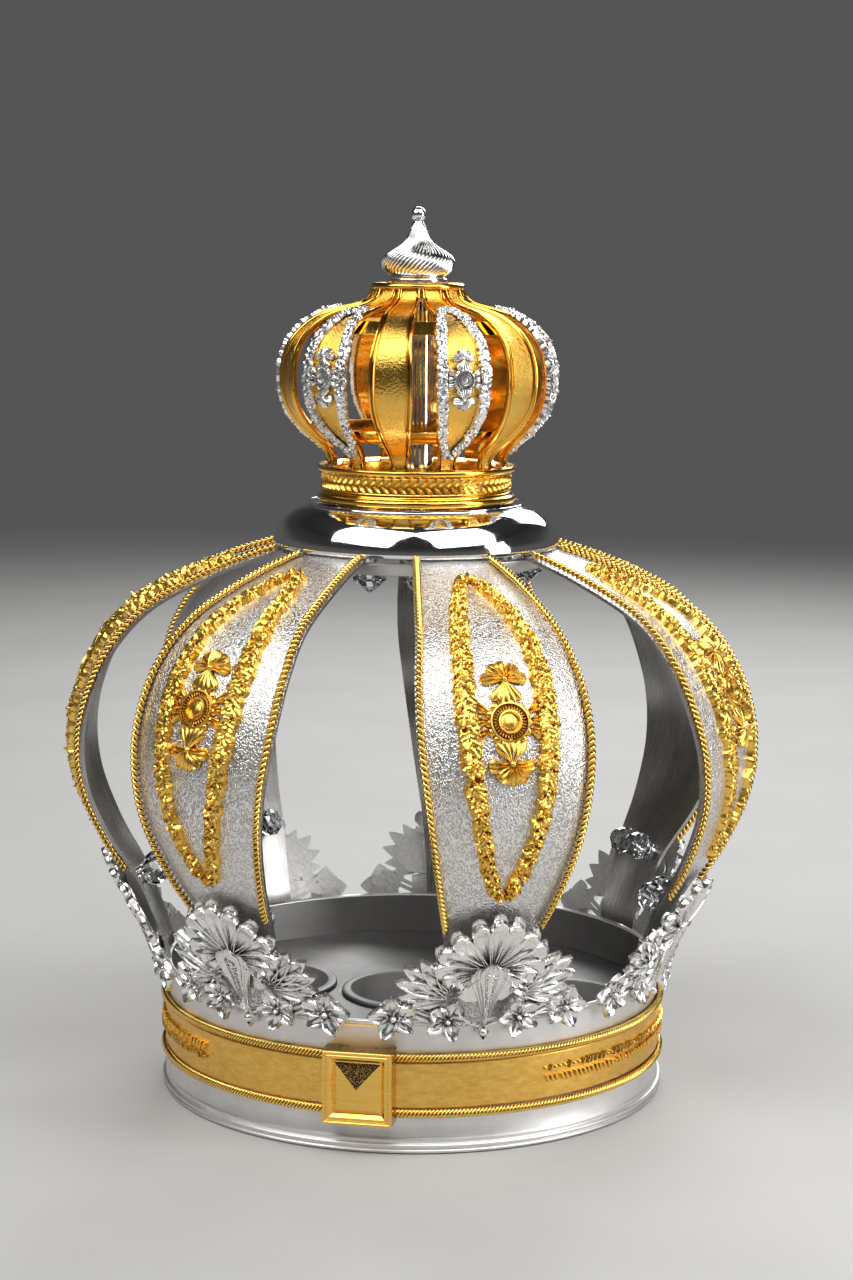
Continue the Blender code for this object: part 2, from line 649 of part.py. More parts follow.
def make_small_crown():
    add_object("small_crown_base", turned(SMALL_BASE_PROFILE, SMALL_BASE_SEGMENTS), GOLD)
    rib = Rib(SMALL_STAVE_PATH, 0.0, SMALL_STAVE_WIDEST)
    disc = turned([
        (0.0, TOP_DISC_HIGH), (TOP_DISC_RADIUS, TOP_DISC_HIGH), (TOP_DISC_RADIUS, TOP_DISC_LOW),
        (0.0, TOP_DISC_LOW)], TOP_DISC_SEGMENTS)
    frame = add_object("small_crown_frame", disc, GOLD)
    for name, (low, high) in HOOP_BANDS.items():
        bottom = rib_radius_at(rib, low) - HOOP_INSET
        top = rib_radius_at(rib, high) - HOOP_INSET
        profile = [(top, high), (bottom, low), (bottom - HOOP_THICKNESS, low),
                   (top - HOOP_THICKNESS, high)]
        add_object("small_hoop_" + name, turned(profile, HOOP_SEGMENTS), GOLD)
    for number, turn in enumerate(rib_angles(SMALL_STAVE_COUNT, 0.0), start=1):
        sheets = []
        for lift in (0.0, -SMALL_STAVE_THICKNESS):
            sheet = []
            for i in range(SMALL_STAVE_SPANS + 1):
                share = i / SMALL_STAVE_SPANS
                half = rib.row(share)[2]
                sheet.append([rib.point(share, side * half, lift, turn) for side in (-1, 1)])
            sheets.append(sheet)
        tool = add_object(f"rib_tool_{number}", closed_shell(*sheets), GOLD)
        unite(frame, tool, f"rib_{number}")
        if number % 2 == 0:
            small_scroll(rib, turn, number // 2)
    rod = turned([(0.0, TOP_DISC_LOW - GAP), (ROD_RADIUS, TOP_DISC_LOW - GAP),
                  (ROD_RADIUS, DOME_PROFILE[0][1] + GAP), (0.0, DOME_PROFILE[0][1] + GAP)],
                 ROD_SEGMENTS)
    add_object("centre_rod", rod, GOLD)


def small_scroll(rib, turn, number):
    pattern = lens_pattern(SMALL_SCROLL_START, SMALL_SCROLL_END, SMALL_SCROLL_HALF_WIDTH,
                           SMALL_SCROLL_BLUNT, SMALL_SCROLL_BORDER, SMALL_SCROLL_SPANS,
                           SMALL_SCROLL_EYE, SMALL_SCROLL_ARM)

    def place(share, across, lift):
        return rib.point(share, across, lift, turn)

    scroll = thick_pattern(pattern, place, SMALL_SCROLL_LIFT,
                           SMALL_SCROLL_LIFT + SMALL_SCROLL_THICKNESS)
    add_object(f"small_scroll_{number}", scroll, BRIGHT_SILVER)


def make_finial():
    """Turned onion whose radius rises and falls along swirled flutes."""
    segments = 2 * FINIAL_FLUTES
    bm = turned(FINIAL_PROFILE, segments)
    low, high = FINIAL_ONION
    for vert in bm.verts:
        if low < vert.co.z < high and hypot(vert.co.x, vert.co.y) > FINIAL_PLAIN_RADIUS:
            rise = (vert.co.z - low) / (high - low)
            radius = hypot(vert.co.x, vert.co.y)
            step = round(Vector((0.0, -1.0)).angle_signed(vert.co.xy) / (2 * pi) * segments)
            ridge = FINIAL_FLUTE_DEPTH if step % 2 else -FINIAL_FLUTE_DEPTH
            turn = -2 * pi * step / segments + radians(FINIAL_SWIRL) * rise
            vert.co = polar(radius + ridge, vert.co.z, turn)
    add_object("finial", bm, BRIGHT_SILVER, 30.0)


clear_scene()
make_base_ring()
make_band()
make_buckle()
make_plate()
make_staves()
make_dome()
make_small_crown()
make_finial()
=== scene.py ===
import random
from math import atan2, cos, pi, radians, sin

import bmesh
import bpy
import numpy as np
from mathutils import Matrix, Vector


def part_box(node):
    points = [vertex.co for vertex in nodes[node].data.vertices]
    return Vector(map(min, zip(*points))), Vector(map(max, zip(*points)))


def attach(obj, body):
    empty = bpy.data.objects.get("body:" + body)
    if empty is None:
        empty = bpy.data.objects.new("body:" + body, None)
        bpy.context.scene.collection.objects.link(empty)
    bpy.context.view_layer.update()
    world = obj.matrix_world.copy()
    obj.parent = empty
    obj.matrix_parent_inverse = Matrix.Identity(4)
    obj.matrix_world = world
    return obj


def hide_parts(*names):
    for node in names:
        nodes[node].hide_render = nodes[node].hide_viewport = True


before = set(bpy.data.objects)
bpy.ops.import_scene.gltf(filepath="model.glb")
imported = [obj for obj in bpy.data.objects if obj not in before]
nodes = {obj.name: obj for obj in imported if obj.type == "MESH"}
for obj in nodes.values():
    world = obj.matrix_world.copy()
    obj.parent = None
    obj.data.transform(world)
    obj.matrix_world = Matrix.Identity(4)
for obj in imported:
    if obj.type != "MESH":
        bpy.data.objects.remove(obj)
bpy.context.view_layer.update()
mm = 0.001
print("frame loaded:", len(nodes), "nodes")


# small tools for meshes; points are numpy rows in millimetres until makePiece

def boxOf(node):
    low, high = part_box(node)
    return [value / mm for value in low], [value / mm for value in high]


def turnOf(node):
    # angle from -Y towards +X of a node that is the same on both sides of its middle
    points = np.array([v.co for v in nodes[node].data.vertices])
    middle = points.mean(axis=0)
    return atan2(middle[0], -middle[1])


def polar(radius, height, turn):
    radius, height, turn = np.broadcast_arrays(radius, height, turn)
    return np.stack([radius * np.sin(turn), -radius * np.cos(turn), height], axis=-1)


def turnsOf(count):
    # angles of so many even steps round a circle
    return np.arange(count) * 2 * pi / count


def unitRows(rows):
    return rows / np.linalg.norm(rows, axis=1)[:, None]


def shifted(faces, start):
    return [tuple(start + k for k in face) for face in faces]


def place(name, data):
    item = bpy.data.objects.new(name, data)
    bpy.context.scene.collection.objects.link(item)
    return item


def makePiece(name, points, faces, metals, stands=(), smoothAngle=40.0, faceMetals=None):
    mesh = bpy.data.meshes.new(name)
    points = np.asarray(points)
    mesh.from_pydata((points * mm).tolist(), [], outwards(points, faces))
    mesh.validate()
    for metal in metals:
        mesh.materials.append(metal)
    if faceMetals is not None:
        mesh.polygons.foreach_set("material_index", faceMetals)
    mesh.shade_smooth()
    if smoothAngle < 180.0:
        mesh.set_sharp_from_angle(angle=radians(smoothAngle))
    mesh.update()
    piece = place(name, mesh)
    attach(piece, "root")
    if stands:
        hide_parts(*stands)


def gridFaces(rows, columns, closedRows=False, closedColumns=False, start=0, flip=False):
    faces = []
    for i in range(rows if closedRows else rows - 1):
        below = (i + 1) % rows
        for j in range(columns if closedColumns else columns - 1):
            beside = (j + 1) % columns
            face = (start + i * columns + j, start + i * columns + beside,
                    start + below * columns + beside, start + below * columns + j)
            faces.append(face[::-1] if flip else face)
    return faces


def capFaces(rows, columns, start=0):
    # the two ends of a grid that is closed round its columns
    last = start + (rows - 1) * columns
    return [tuple(range(start, start + columns))[::-1], tuple(range(last, last + columns))]


def rounded(profile, steps=3):
    # corners given as (radius, height, rounding) are replaced by short arcs
    points = []
    count = len(profile)
    for k, corner in enumerate(profile):
        if len(corner) < 3 or corner[2] <= 0.0:
            points.append((corner[0], corner[1]))
            continue
        here = np.array(corner[:2])
        before = np.array(profile[k - 1][:2])
        after = np.array(profile[(k + 1) % count][:2])
        back = before - here
        on = after - here
        reach = min(corner[2], np.linalg.norm(back) * 0.48, np.linalg.norm(on) * 0.48)
        start = here + back / np.linalg.norm(back) * reach
        end = here + on / np.linalg.norm(on) * reach
        for step in range(steps + 1):
            t = step / steps
            spot = start * (1 - t) ** 2 + here * 2 * t * (1 - t) + end * t ** 2
            points.append((float(spot[0]), float(spot[1])))
    return points


def lathed(profile, segments):
    # profile turned round Z; it is closed, or starts and ends on the axis
    turns = turnsOf(segments)
    points, faces, rings = [], [], []
    for radius, height in profile:
        if radius < 1e-6:
            rings.append([len(points)])
            points.append((0.0, 0.0, height))
        else:
            rings.append(list(range(len(points), len(points) + segments)))
            points.extend(polar(radius, height, turns).tolist())
    pairs = list(zip(rings, rings[1:]))
    if len(rings[0]) > 1 and len(rings[-1]) > 1:
        pairs.append((rings[-1], rings[0]))
    for upper, lower in pairs:
        if len(upper) == 1 and len(lower) == 1:
            continue
        for k in range(segments):
            following = (k + 1) % segments
            if len(upper) == 1:
                faces.append((upper[0], lower[following], lower[k]))
            elif len(lower) == 1:
                faces.append((upper[k], upper[following], lower[0]))
            else:
                faces.append((upper[k], upper[following], lower[following], lower[k]))
    return np.array(points), outwards(np.array(points), faces)


def turnedPiece(name, profile, segments, metal, stands, smoothAngle=40.0):
    points, faces = lathed(profile, segments)
    makePiece(name, points, faces, [metal], stands, smoothAngle)


def outwards(points, faces):
    # turns every face round when the body they close is inside out
    volume = 0.0
    for size in sorted({len(face) for face in faces}):
        corners = np.array([face for face in faces if len(face) == size])
        a = points[corners[:, 0]]
        for k in range(1, size - 1):
            volume += float((a * np.cross(points[corners[:, k]], points[corners[:, k + 1]])).sum())
    return [face[::-1] for face in faces] if volume < 0 else faces


def lengthsAlong(x, y):
    return np.concatenate([[0.0], np.cumsum(np.hypot(np.diff(x), np.diff(y)))])


def curvePath(controls, steps, fineness=24):
    # Catmull-Rom curve through the controls, in even steps of its length in the first two columns
    controls = np.asarray(controls, float)
    ends = np.vstack([controls[:1], controls, controls[-1:]])
    t = (np.arange(fineness) / fineness)[:, None]
    fine = [0.5 * (2 * b + (c - a) * t + (2 * a - 5 * b + 4 * c - d) * t ** 2
                   + (3 * b - a - 3 * c + d) * t ** 3)
            for a, b, c, d in zip(ends, ends[1:], ends[2:], ends[3:])]
    fine = np.vstack(fine + [controls[-1:]])
    lengths = lengthsAlong(fine[:, 0], fine[:, 1])
    goals = np.linspace(0.0, lengths[-1], steps + 1)
    even = np.stack([np.interp(goals, lengths, fine[:, k]) for k in range(fine.shape[1])], axis=1)
    return even, lengths[-1]


def ribSurface(path, crown, steps=240, smoothing=5):
    # outer face of a rib: radius, height, half width and outward normal along its length
    rows, length = curvePath(path, steps)
    run = np.gradient(rows[:, :2], axis=0)
    window = np.ones(smoothing) / smoothing
    padded = np.pad(run, ((smoothing // 2, smoothing // 2), (0, 0)), mode="edge")
    run = unitRows(np.stack([np.convolve(column, window, "valid") for column in padded.T], axis=1))
    normal = np.stack([-run[:, 1], run[:, 0]], axis=1)
    normal *= np.where(run[:, 1] > 0, -1.0, 1.0)[:, None]
    shares = np.linspace(0.0, 1.0, len(rows))
    return {"shares": shares, "rows": rows, "normal": normal, "length": length,
            "crown": crown, "widest": rows[:, 2].max()}


def ribRow(rib, share):
    share = np.clip(share, 0.0, 1.0)
    values = [*rib["rows"].T[:3], *rib["normal"].T]
    return [np.interp(share, rib["shares"], value) for value in values]


def ribPoints(rib, share, across, lift, turn):
    # across is in millimetres round the rib's face, and lift stands off it
    radius, height, _, normalOut, normalUp = ribRow(rib, share)
    drop = rib["crown"] * (across / rib["widest"]) ** 2
    off = lift - drop
    return polar(radius + normalOut * off, height + normalUp * off, turn + across / radius)


def twistedWire(centre, outDirection, sideDirection, size, sides, closed):
    # strands wound round a centre line; the two directions span the rope's section
    count = len(centre)
    steps = np.linalg.norm(np.diff(centre, axis=0), axis=1)
    phase = np.concatenate([[0.0], np.cumsum(steps)])
    if closed:                   # the lead is stretched to close on itself
        total = steps.sum() + np.linalg.norm(centre[0] - centre[-1])
        phase = phase / total * (round(total / size["lead"]) * 2 * pi)
    else:
        phase = phase / size["lead"] * 2 * pi
    points, faces = [], []
    around = turnsOf(sides)
    for strand in range(size["strands"]):
        angle = phase + strand * 2 * pi / size["strands"]
        middle = (centre + outDirection * (size["wind"] * size["depth"] * np.cos(angle))[:, None]
                  + sideDirection * (size["wind"] * np.sin(angle))[:, None])
        thickOut = size["thick"] * size["depth"]
        tube = (middle[:, None, :]
                + outDirection[:, None, :] * (thickOut * np.cos(around))[None, :, None]
                + sideDirection[:, None, :] * (size["thick"] * np.sin(around))[None, :, None])
        start = len(points)
        points.extend(tube.reshape(-1, 3).tolist())
        faces += gridFaces(count, sides, closedRows=closed, closedColumns=True, start=start)
        if not closed:
            faces += capFaces(count, sides, start)
    return points, faces


# materials: every finish is a set of plain nodes on one shader

def newFinish(name, colour, roughness, metallic=1.0):
    material = bpy.data.materials.new(name)
    material.use_nodes = True
    material.diffuse_color = (*colour, 1.0)
    tree = material.node_tree
    finish = {"material": material, "tree": tree, "shader": tree.nodes["Principled BSDF"]}
    give(finish, "Metallic", metallic)
    give(finish, "Base Color", (*colour, 1.0))
    give(finish, "Roughness", roughness)
    return finish


def give(finish, socket, value):
    if isinstance(value, bpy.types.NodeSocket):
        finish["tree"].links.new(value, finish["shader"].inputs[socket])
    else:
        finish["shader"].inputs[socket].default_value = value


def giveTone(finish, value, stops):
    give(finish, "Base Color", ramp(finish["tree"], value, stops))


def giveGloss(finish, value, stops):
    give(finish, "Roughness", ramp(finish["tree"], value, greys(*stops)))


def giveGrain(finish, height, strength, distance, **settings):
    bump = addNode(finish["tree"], "ShaderNodeBump",
                   {"Height": height, "Strength": strength, "Distance": distance * mm}, **settings)
    give(finish, "Normal", bump.outputs["Normal"])


def givePaintedHollowShade(finish, unshaded, dark, reach, low, high):
    # painted shade: the colour darkens in hollows, as far as the ambient occlusion node finds them
    hollow = addNode(finish["tree"], "ShaderNodeAmbientOcclusion", {"Distance": reach * mm},
                     samples=6)
    giveTone(finish, hollow.outputs["AO"], [(low, dark), (high, unshaded)])


def ownSpot(finish, *stretch):
    # the piece's own coordinates, stretched
    texture = addNode(finish["tree"], "ShaderNodeTexCoord")
    stretch = stretch * 3 if len(stretch) == 1 else stretch
    return addNode(finish["tree"], "ShaderNodeMapping",
                   {"Vector": texture.outputs["Object"], "Scale": stretch}).outputs["Vector"]


def ringSpot(finish, *stretch):
    # (angle round Z, height, radius), so that brushing follows the turned parts
    texture = addNode(finish["tree"], "ShaderNodeTexCoord")
    parts = addNode(finish["tree"], "ShaderNodeSeparateXYZ", {"Vector": texture.outputs["Object"]})
    x, y, z = (parts.outputs[k] for k in range(3))
    squares = worked(finish, "MULTIPLY_ADD", y, y, worked(finish, "MULTIPLY", x, x))
    turned = (worked(finish, "ARCTAN2", x, y), z, worked(finish, "SQRT", squares))
    scaled = [worked(finish, "MULTIPLY", value, factor) for value, factor in zip(turned, stretch)]
    return addNode(finish["tree"], "ShaderNodeCombineXYZ",
                   dict(zip("XYZ", scaled))).outputs["Vector"]


def worked(finish, operation, *values):
    return addNode(finish["tree"], "ShaderNodeMath", dict(enumerate(values)),
                   operation=operation).outputs[0]


def noiseOf(finish, spot, scale, detail, **inputs):
    return addNode(finish["tree"], "ShaderNodeTexNoise",
                   {"Vector": spot, "Scale": scale, "Detail": detail, **inputs}).outputs["Fac"]


def addNode(tree, kind, inputs=None, **settings):
    node = tree.nodes.new(kind)
    for key, value in settings.items():
        setattr(node, key, value)
    for key, value in (inputs or {}).items():
        if isinstance(value, bpy.types.NodeSocket):
            tree.links.new(value, node.inputs[key])
        else:
            node.inputs[key].default_value = value
    return node


def ramp(tree, value, stops):
    node = addNode(tree, "ShaderNodeValToRGB", {"Fac": value})
    elements = node.color_ramp.elements
    while len(elements) < len(stops):
        elements.new(0.5)
    for element, (place, colour) in zip(elements, stops):
        element.position = place
        element.color = (*colour, 1.0)
    return node.outputs["Color"]


def greys(*stops):
    return [(place, (value, value, value)) for place, value in stops]


# camera, floor and light

view = {
    "turn": 10.7,                # degrees that the camera stands round from the clasp
    "place": (4.45, -1035.1, 327.1),
    "tilt": 8.32,
    "roll": 0.488,
    "lens": 74.67,
}

cameraData = bpy.data.cameras.new("camera")
cameraData.sensor_fit = "VERTICAL"
cameraData.sensor_height = 36.0
cameraData.lens = view["lens"]
cameraData.clip_start = 0.05
cameraData.clip_end = 60.0
camera = place("camera", cameraData)
swing = Matrix.Rotation(radians(view["turn"]), 4, "Z")
camera.matrix_world = (swing @ Matrix.Translation(Vector(view["place"]) * mm)
                       @ Matrix.Rotation(radians(90.0 - view["tilt"]), 4, "X")
                       @ Matrix.Rotation(radians(view["roll"]), 4, "Z"))
bpy.context.scene.camera = camera

studio = {
    "floorRadius": 6000.0,
    "floorSides": 96,
    "floorTones": ((0.45, 0.445, 0.435), (0.48, 0.475, 0.465)),
    "floorFade": (700.0, 2600.0),    # radii between which the lit floor melts into the horizon
    "floorDrop": 0.4,
    "horizonGlow": 0.09,
    "sky": ((0.0, 0.09), (0.12, 0.09), (0.30, 0.036), (0.55, 0.018), (1.0, 0.036)),
    "lampsAim": (0.0, 0.0, 160.0),
    "transform": "Standard",
    "lamps": (                   # turn from the camera, height, distance, width, height, watts
        ("left", -50.0, 1500.0, 1000.0, 1500.0, 1300.0, 24.0),
        ("right", 46.0, 1500.0, 1000.0, 1500.0, 1300.0, 21.0),
        ("back", 165.0, 1000.0, 1500.0, 1200.0, 700.0, 17.0),
        ("side", 70.0, 500.0, 1500.0, 500.0, 900.0, 8.0),
    ),
}


def makeFloor():
    points = polar(studio["floorRadius"], 0.0, turnsOf(studio["floorSides"]))
    floorMesh = bpy.data.meshes.new("floor")
    floorMesh.from_pydata((points * mm).tolist(), [], [tuple(range(len(points)))])
    paper = newFinish("floor_paper", studio["floorTones"][0], 0.7, 0.0)
    mottle = noiseOf(paper, ownSpot(paper, 9.0), 1.0, 3.0)
    giveTone(paper, mottle, list(zip((0.3, 0.7), studio["floorTones"])))
    tree = paper["tree"]
    far = addNode(tree, "ShaderNodeVectorMath",
                  {0: addNode(tree, "ShaderNodeTexCoord").outputs["Object"]}, operation="LENGTH")
    near, end = studio["floorFade"]
    fade = addNode(tree, "ShaderNodeMapRange",
                   {"Value": far.outputs["Value"], "From Min": near * mm, "From Max": end * mm},
                   interpolation_type="SMOOTHSTEP")
    horizon = addNode(tree, "ShaderNodeEmission", {"Color": (*[studio["horizonGlow"]] * 3, 1.0)})
    mixed = addNode(tree, "ShaderNodeMixShader", {0: fade.outputs["Result"],
                                                  1: paper["shader"].outputs["BSDF"],
                                                  2: horizon.outputs["Emission"]})
    tree.links.new(mixed.outputs["Shader"], tree.nodes["Material Output"].inputs["Surface"])
    floorMesh.materials.append(paper["material"])
    floor = place("floor", floorMesh)
    floor.location.z = -studio["floorDrop"] * mm


def makeSky():
    world = bpy.data.worlds.new("studio_world")
    bpy.context.scene.world = world
    world.use_nodes = True
    tree = world.node_tree
    spot = addNode(tree, "ShaderNodeTexCoord")
    parts = addNode(tree, "ShaderNodeSeparateXYZ", {"Vector": spot.outputs["Generated"]})
    glow = ramp(tree, parts.outputs["Z"], greys(*studio["sky"]))
    tree.links.new(glow, tree.nodes["Background"].inputs["Color"])
    bpy.context.scene.view_settings.view_transform = studio["transform"]


def makeLamps():
    middle = Vector(studio["lampsAim"]) * mm
    for name, turn, height, distance, width, tall, watts in studio["lamps"]:
        lampData = bpy.data.lights.new(name, "AREA")
        lampData.shape = "RECTANGLE"
        lampData.size = width * mm
        lampData.size_y = tall * mm
        lampData.energy = watts
        lamp = place(name, lampData)
        lamp.location = Vector(polar(distance, height, radians(view["turn"] + turn))) * mm
        lamp.rotation_euler = (middle - lamp.location).to_track_quat("-Z", "Y").to_euler()


makeFloor()
makeSky()
makeLamps()
print("studio made")


# finishes that several pieces share

def polishedSilver():
    finish = newFinish("polished_silver", (0.90, 0.90, 0.90), 0.06)
    cloud = noiseOf(finish, ownSpot(finish, 420.0), 1.0, 4.0)
    giveGloss(finish, cloud, ((0.3, 0.045), (0.75, 0.10)))
    return finish["material"]


def satinSilver(name="satin_silver", pale=0.36, gloss=0.35):
    # turned and brushed round the axis, as inside the ring
    finish = newFinish(name, (pale, pale, pale), gloss)
    lines = noiseOf(finish, ringSpot(finish, 3.0, 1500.0, 1500.0), 1.0, 3.0)
    cloud = noiseOf(finish, ownSpot(finish, 14.0), 5.0, 3.0)
    giveGloss(finish, lines, ((0.3, gloss), (0.7, gloss + 0.1)))
    giveTone(finish, cloud, [(0.3, (0.80 * pale, 0.78 * pale, 0.76 * pale)),
                        (0.7, (pale, 0.98 * pale, 0.96 * pale))])
    giveGrain(finish, lines, 0.2, 0.04)
    return finish["material"]


def wallSilver():
    # pale silver plate of the ring, with the faint rings of its turning
    finish = newFinish("wall_silver", (0.83, 0.82, 0.80), 0.36)
    lines = noiseOf(finish, ringSpot(finish, 10.0, 1500.0, 1500.0), 1.0, 4.0)
    giveGloss(finish, lines, ((0.3, 0.40), (0.7, 0.50)))
    giveTone(finish, noiseOf(finish, ownSpot(finish, 22.0), 5.0, 5.0),
                [(0.3, (0.78, 0.77, 0.75)), (0.75, (0.88, 0.87, 0.86))])
    giveGrain(finish, lines, 0.12, 0.05)
    return finish["material"]


def polishedGold(name="polished_gold", colour=(0.97, 0.64, 0.16), hollowShade=(0.20, 0.07, 0.01),
                 gloss=0.16, clear=0.80):
    finish = newFinish(name, colour, gloss)
    # painted shade: the gold turns towards the darker shade colour in its hollows
    givePaintedHollowShade(finish, colour, hollowShade, 1.2, 0.20, clear)
    cloud = noiseOf(finish, ownSpot(finish, 700.0), 1.0, 3.0)
    giveGloss(finish, cloud, ((0.3, gloss), (0.7, gloss + 0.12)))
    return finish["material"]


def brushedGold():
    # brushed along the band
    finish = newFinish("brushed_gold", (0.95, 0.60, 0.15), 0.3)
    lines = noiseOf(finish, ringSpot(finish, 16.0, 2300.0, 600.0), 1.0, 6.0, Roughness=0.7)
    cloud = noiseOf(finish, ringSpot(finish, 5.0, 90.0, 90.0), 5.0, 4.0)
    giveGloss(finish, lines, ((0.3, 0.26), (0.72, 0.44)))
    giveTone(finish, worked(finish, "MULTIPLY", lines, cloud),
                [(0.14, (0.80, 0.45, 0.09)), (0.38, (0.97, 0.62, 0.16))])
    giveGrain(finish, lines, 0.5, 0.05)
    return finish["material"]


mirrorSilver = polishedSilver()
satin = satinSilver()
wall = wallSilver()
gold = polishedGold()
bandGold = brushedGold()
print("finishes made")


# ring, band and ropes

ring = {
    "segments": 216,
    "wallRadius": 97.5,
    "innerRadius": 96.0,
    "ledgeRadius": 92.5,
    "ledgeTop": 31.2,
    "beadHeight": 1.4,
    "rollHeight": 1.5,           # each of the two rolled edges under the foot
}


def makeRing():
    low, high = boxOf("base_ring")
    foot = -low[1]
    rim = high[2]
    wallOut = ring["wallRadius"]
    wallIn = ring["innerRadius"]
    bead = ring["beadHeight"]
    roll = ring["rollHeight"]
    profile = rounded([
        (wallIn + 0.2, rim - 0.4, 0.4), (97.2, rim, 0.6), (98.5, rim - 0.1, 0.6),
        (98.6, rim - bead, 0.6), (wallOut + 0.2, rim - bead - 0.7, 0.5),
        (wallOut, rim - 3.4), (wallOut, 14.4, 3.0), (wallOut + 0.1, 9.0, 3.0), (98.3, 5.6, 1.6),
        (98.7, 4.7, 0.3), (98.5, 2 * roll + 0.55, 0.2), (foot - 0.5, 2 * roll + 0.45, 0.5),
        (foot, 2 * roll - 0.35, 0.5), (foot - 0.35, roll + 0.35, 0.4), (foot - 0.9, roll, 0.2),
        (foot - 0.35, roll - 0.3, 0.4), (foot - 0.1, roll * 0.5, 0.4), (foot - 0.4, 0.0, 0.5),
        (97.2, 0.0, 0.4), (wallIn, 4.0, 2.0), (wallIn, ring["ledgeTop"] - 2.0, 0.5),
        (ring["ledgeRadius"], ring["ledgeTop"] - 1.2, 0.4),
        (ring["ledgeRadius"], ring["ledgeTop"], 0.3), (wallIn, ring["ledgeTop"], 0.4),
    ])
    points, faces = lathed(profile, ring["segments"])
    middles = np.array([points[list(face)].mean(axis=0) for face in faces])
    radius = np.hypot(middles[:, 0], middles[:, 1])
    inner = (radius < wallIn + 0.1).astype(int).tolist()
    makePiece("ring", points, faces, [wall, satin], ["base_ring"], 50.0, inner)


band = {
    "segments": 216,
    "edge": 0.5,                 # rounding of the band's edges
    "wire": {"strands": 4, "lead": 5.7, "wind": 0.98, "thick": 0.76, "depth": 0.85},
    "wireOut": 1.45,             # centre of the wire off the ring's wall
    "wireIn": 0.35,              # how far each wire lies towards the band's middle
    "wireSteps": 900,
}


def makeBand():
    low, high = boxOf("gold_band")
    outer = -low[1]
    profile = rounded([
        (outer - 0.75, high[2], 0.2), (outer - 0.1, high[2], band["edge"]),
        (outer, high[2] - 0.7, 0.3), (outer, low[2] + 0.7, 0.3),
        (outer - 0.1, low[2], band["edge"]), (outer - 0.75, low[2], 0.2),
    ])
    turnedPiece("band", profile, band["segments"], bandGold, ["gold_band"], 50.0)
    turns = turnsOf(band["wireSteps"])
    for level in ("lower", "upper"):
        low, high = boxOf("band_rope_" + level)
        towardsBand = band["wireIn"] if level == "lower" else -band["wireIn"]
        height = (low[2] + high[2]) / 2 + towardsBand
        centre = polar(ring["wallRadius"] + band["wireOut"], height, turns)
        upwards = np.broadcast_to([0.0, 0.0, 1.0], centre.shape)
        points, faces = twistedWire(centre, polar(1.0, 0.0, turns), upwards, band["wire"], 5, True)
        makePiece("band_wire_" + level, points, faces, [gold], ["band_rope_" + level],
                  180.0)


makeRing()
makeBand()
print("ring and band made")


# floor plate and its sleeves

plate = {
    "holeSegments": 72,
    "rimSegments": 180,
    "sleeveSegments": 96,
    "lip": 0.5,
    "holeInset": 2.2,            # from the collar's edge to the hole in the plate
    "tubeInset": 2.6,
    "tubeWall": 1.3,
}


def discWithHoles(radius, holes, low, high):
    # flat disc from its outlines: the rim and each hole, as (middle across, radius)
    bm = bmesh.new()
    outlines = [(0.0, radius, plate["rimSegments"])]
    outlines += [(across, size, plate["holeSegments"]) for across, size in holes]
    edges = []
    for across, size, count in outlines:
        loop = [bm.verts.new((across + x, y, high))
                for x, y, _ in polar(size, high, turnsOf(count))]
        edges += [bm.edges.new(pair) for pair in zip(loop, loop[1:] + loop[:1])]
    made = bmesh.ops.triangle_fill(bm, edges=edges, use_beauty=True, normal=(0.0, 0.0, 1.0))
    top = [item for item in made["geom"] if isinstance(item, bmesh.types.BMFace)]
    thick = bmesh.ops.extrude_face_region(bm, geom=top)
    lowered = [item for item in thick["geom"] if isinstance(item, bmesh.types.BMVert)]
    bmesh.ops.translate(bm, verts=lowered, vec=(0.0, 0.0, low - high))
    bmesh.ops.recalc_face_normals(bm, faces=bm.faces)
    bm.verts.index_update()
    points = np.array([v.co[:] for v in bm.verts])
    faces = [tuple(v.index for v in face.verts) for face in bm.faces]
    bm.free()
    # the fill gives its faces in any order, so they are sorted to be the same in each run
    firsts = [face.index(min(face)) for face in faces]
    return points, sorted(face[first:] + face[:first] for face, first in zip(faces, firsts))


def makePlate():
    plateSilver = satinSilver("plate_silver", 0.25, 0.42)
    # the bore takes a paler copy of the plate's silver: painted light in the shaded bore
    borePaintedLightSilver = satinSilver("bore_painted_light_silver", 0.66, 0.60)
    low, high = boxOf("roller_plate")
    places = {}
    for name in ("left", "middle", "right"):
        (left, _, foot), (right, back, top) = boxOf("roller_sleeve_" + name)
        places[name] = ((left + right) / 2, back, foot, top)
    holes = [(across, collar - plate["holeInset"]) for across, collar, _, _ in places.values()]
    points, faces = discWithHoles(high[1], holes, low[2], high[2])
    makePiece("plate", points, faces, [plateSilver], ["roller_plate"], 40.0)
    for name, (across, collar, foot, top) in places.items():
        tube = collar - plate["tubeInset"]
        bore = tube - plate["tubeWall"]
        lip = plate["lip"]
        profile = rounded([
            (collar, top - 0.3, lip), (collar, high[2] + 0.1, 0.3), (tube, high[2] + 0.1),
            (tube, foot, 0.3), (bore, foot, 0.3), (bore, top, lip), (collar - 1.1, top, lip),
        ])
        points, faces = lathed(profile, plate["sleeveSegments"])
        radius = np.hypot(points[:, 0], points[:, 1])
        inBore = [int(radius[list(face)].max() < bore + 0.1) for face in faces]
        makePiece("sleeve_" + name, points + [across, 0.0, 0.0], faces, [plateSilver, borePaintedLightSilver],
                  ["roller_sleeve_" + name], 50.0, inBore)


makePlate()
print("plate made")


# ribs

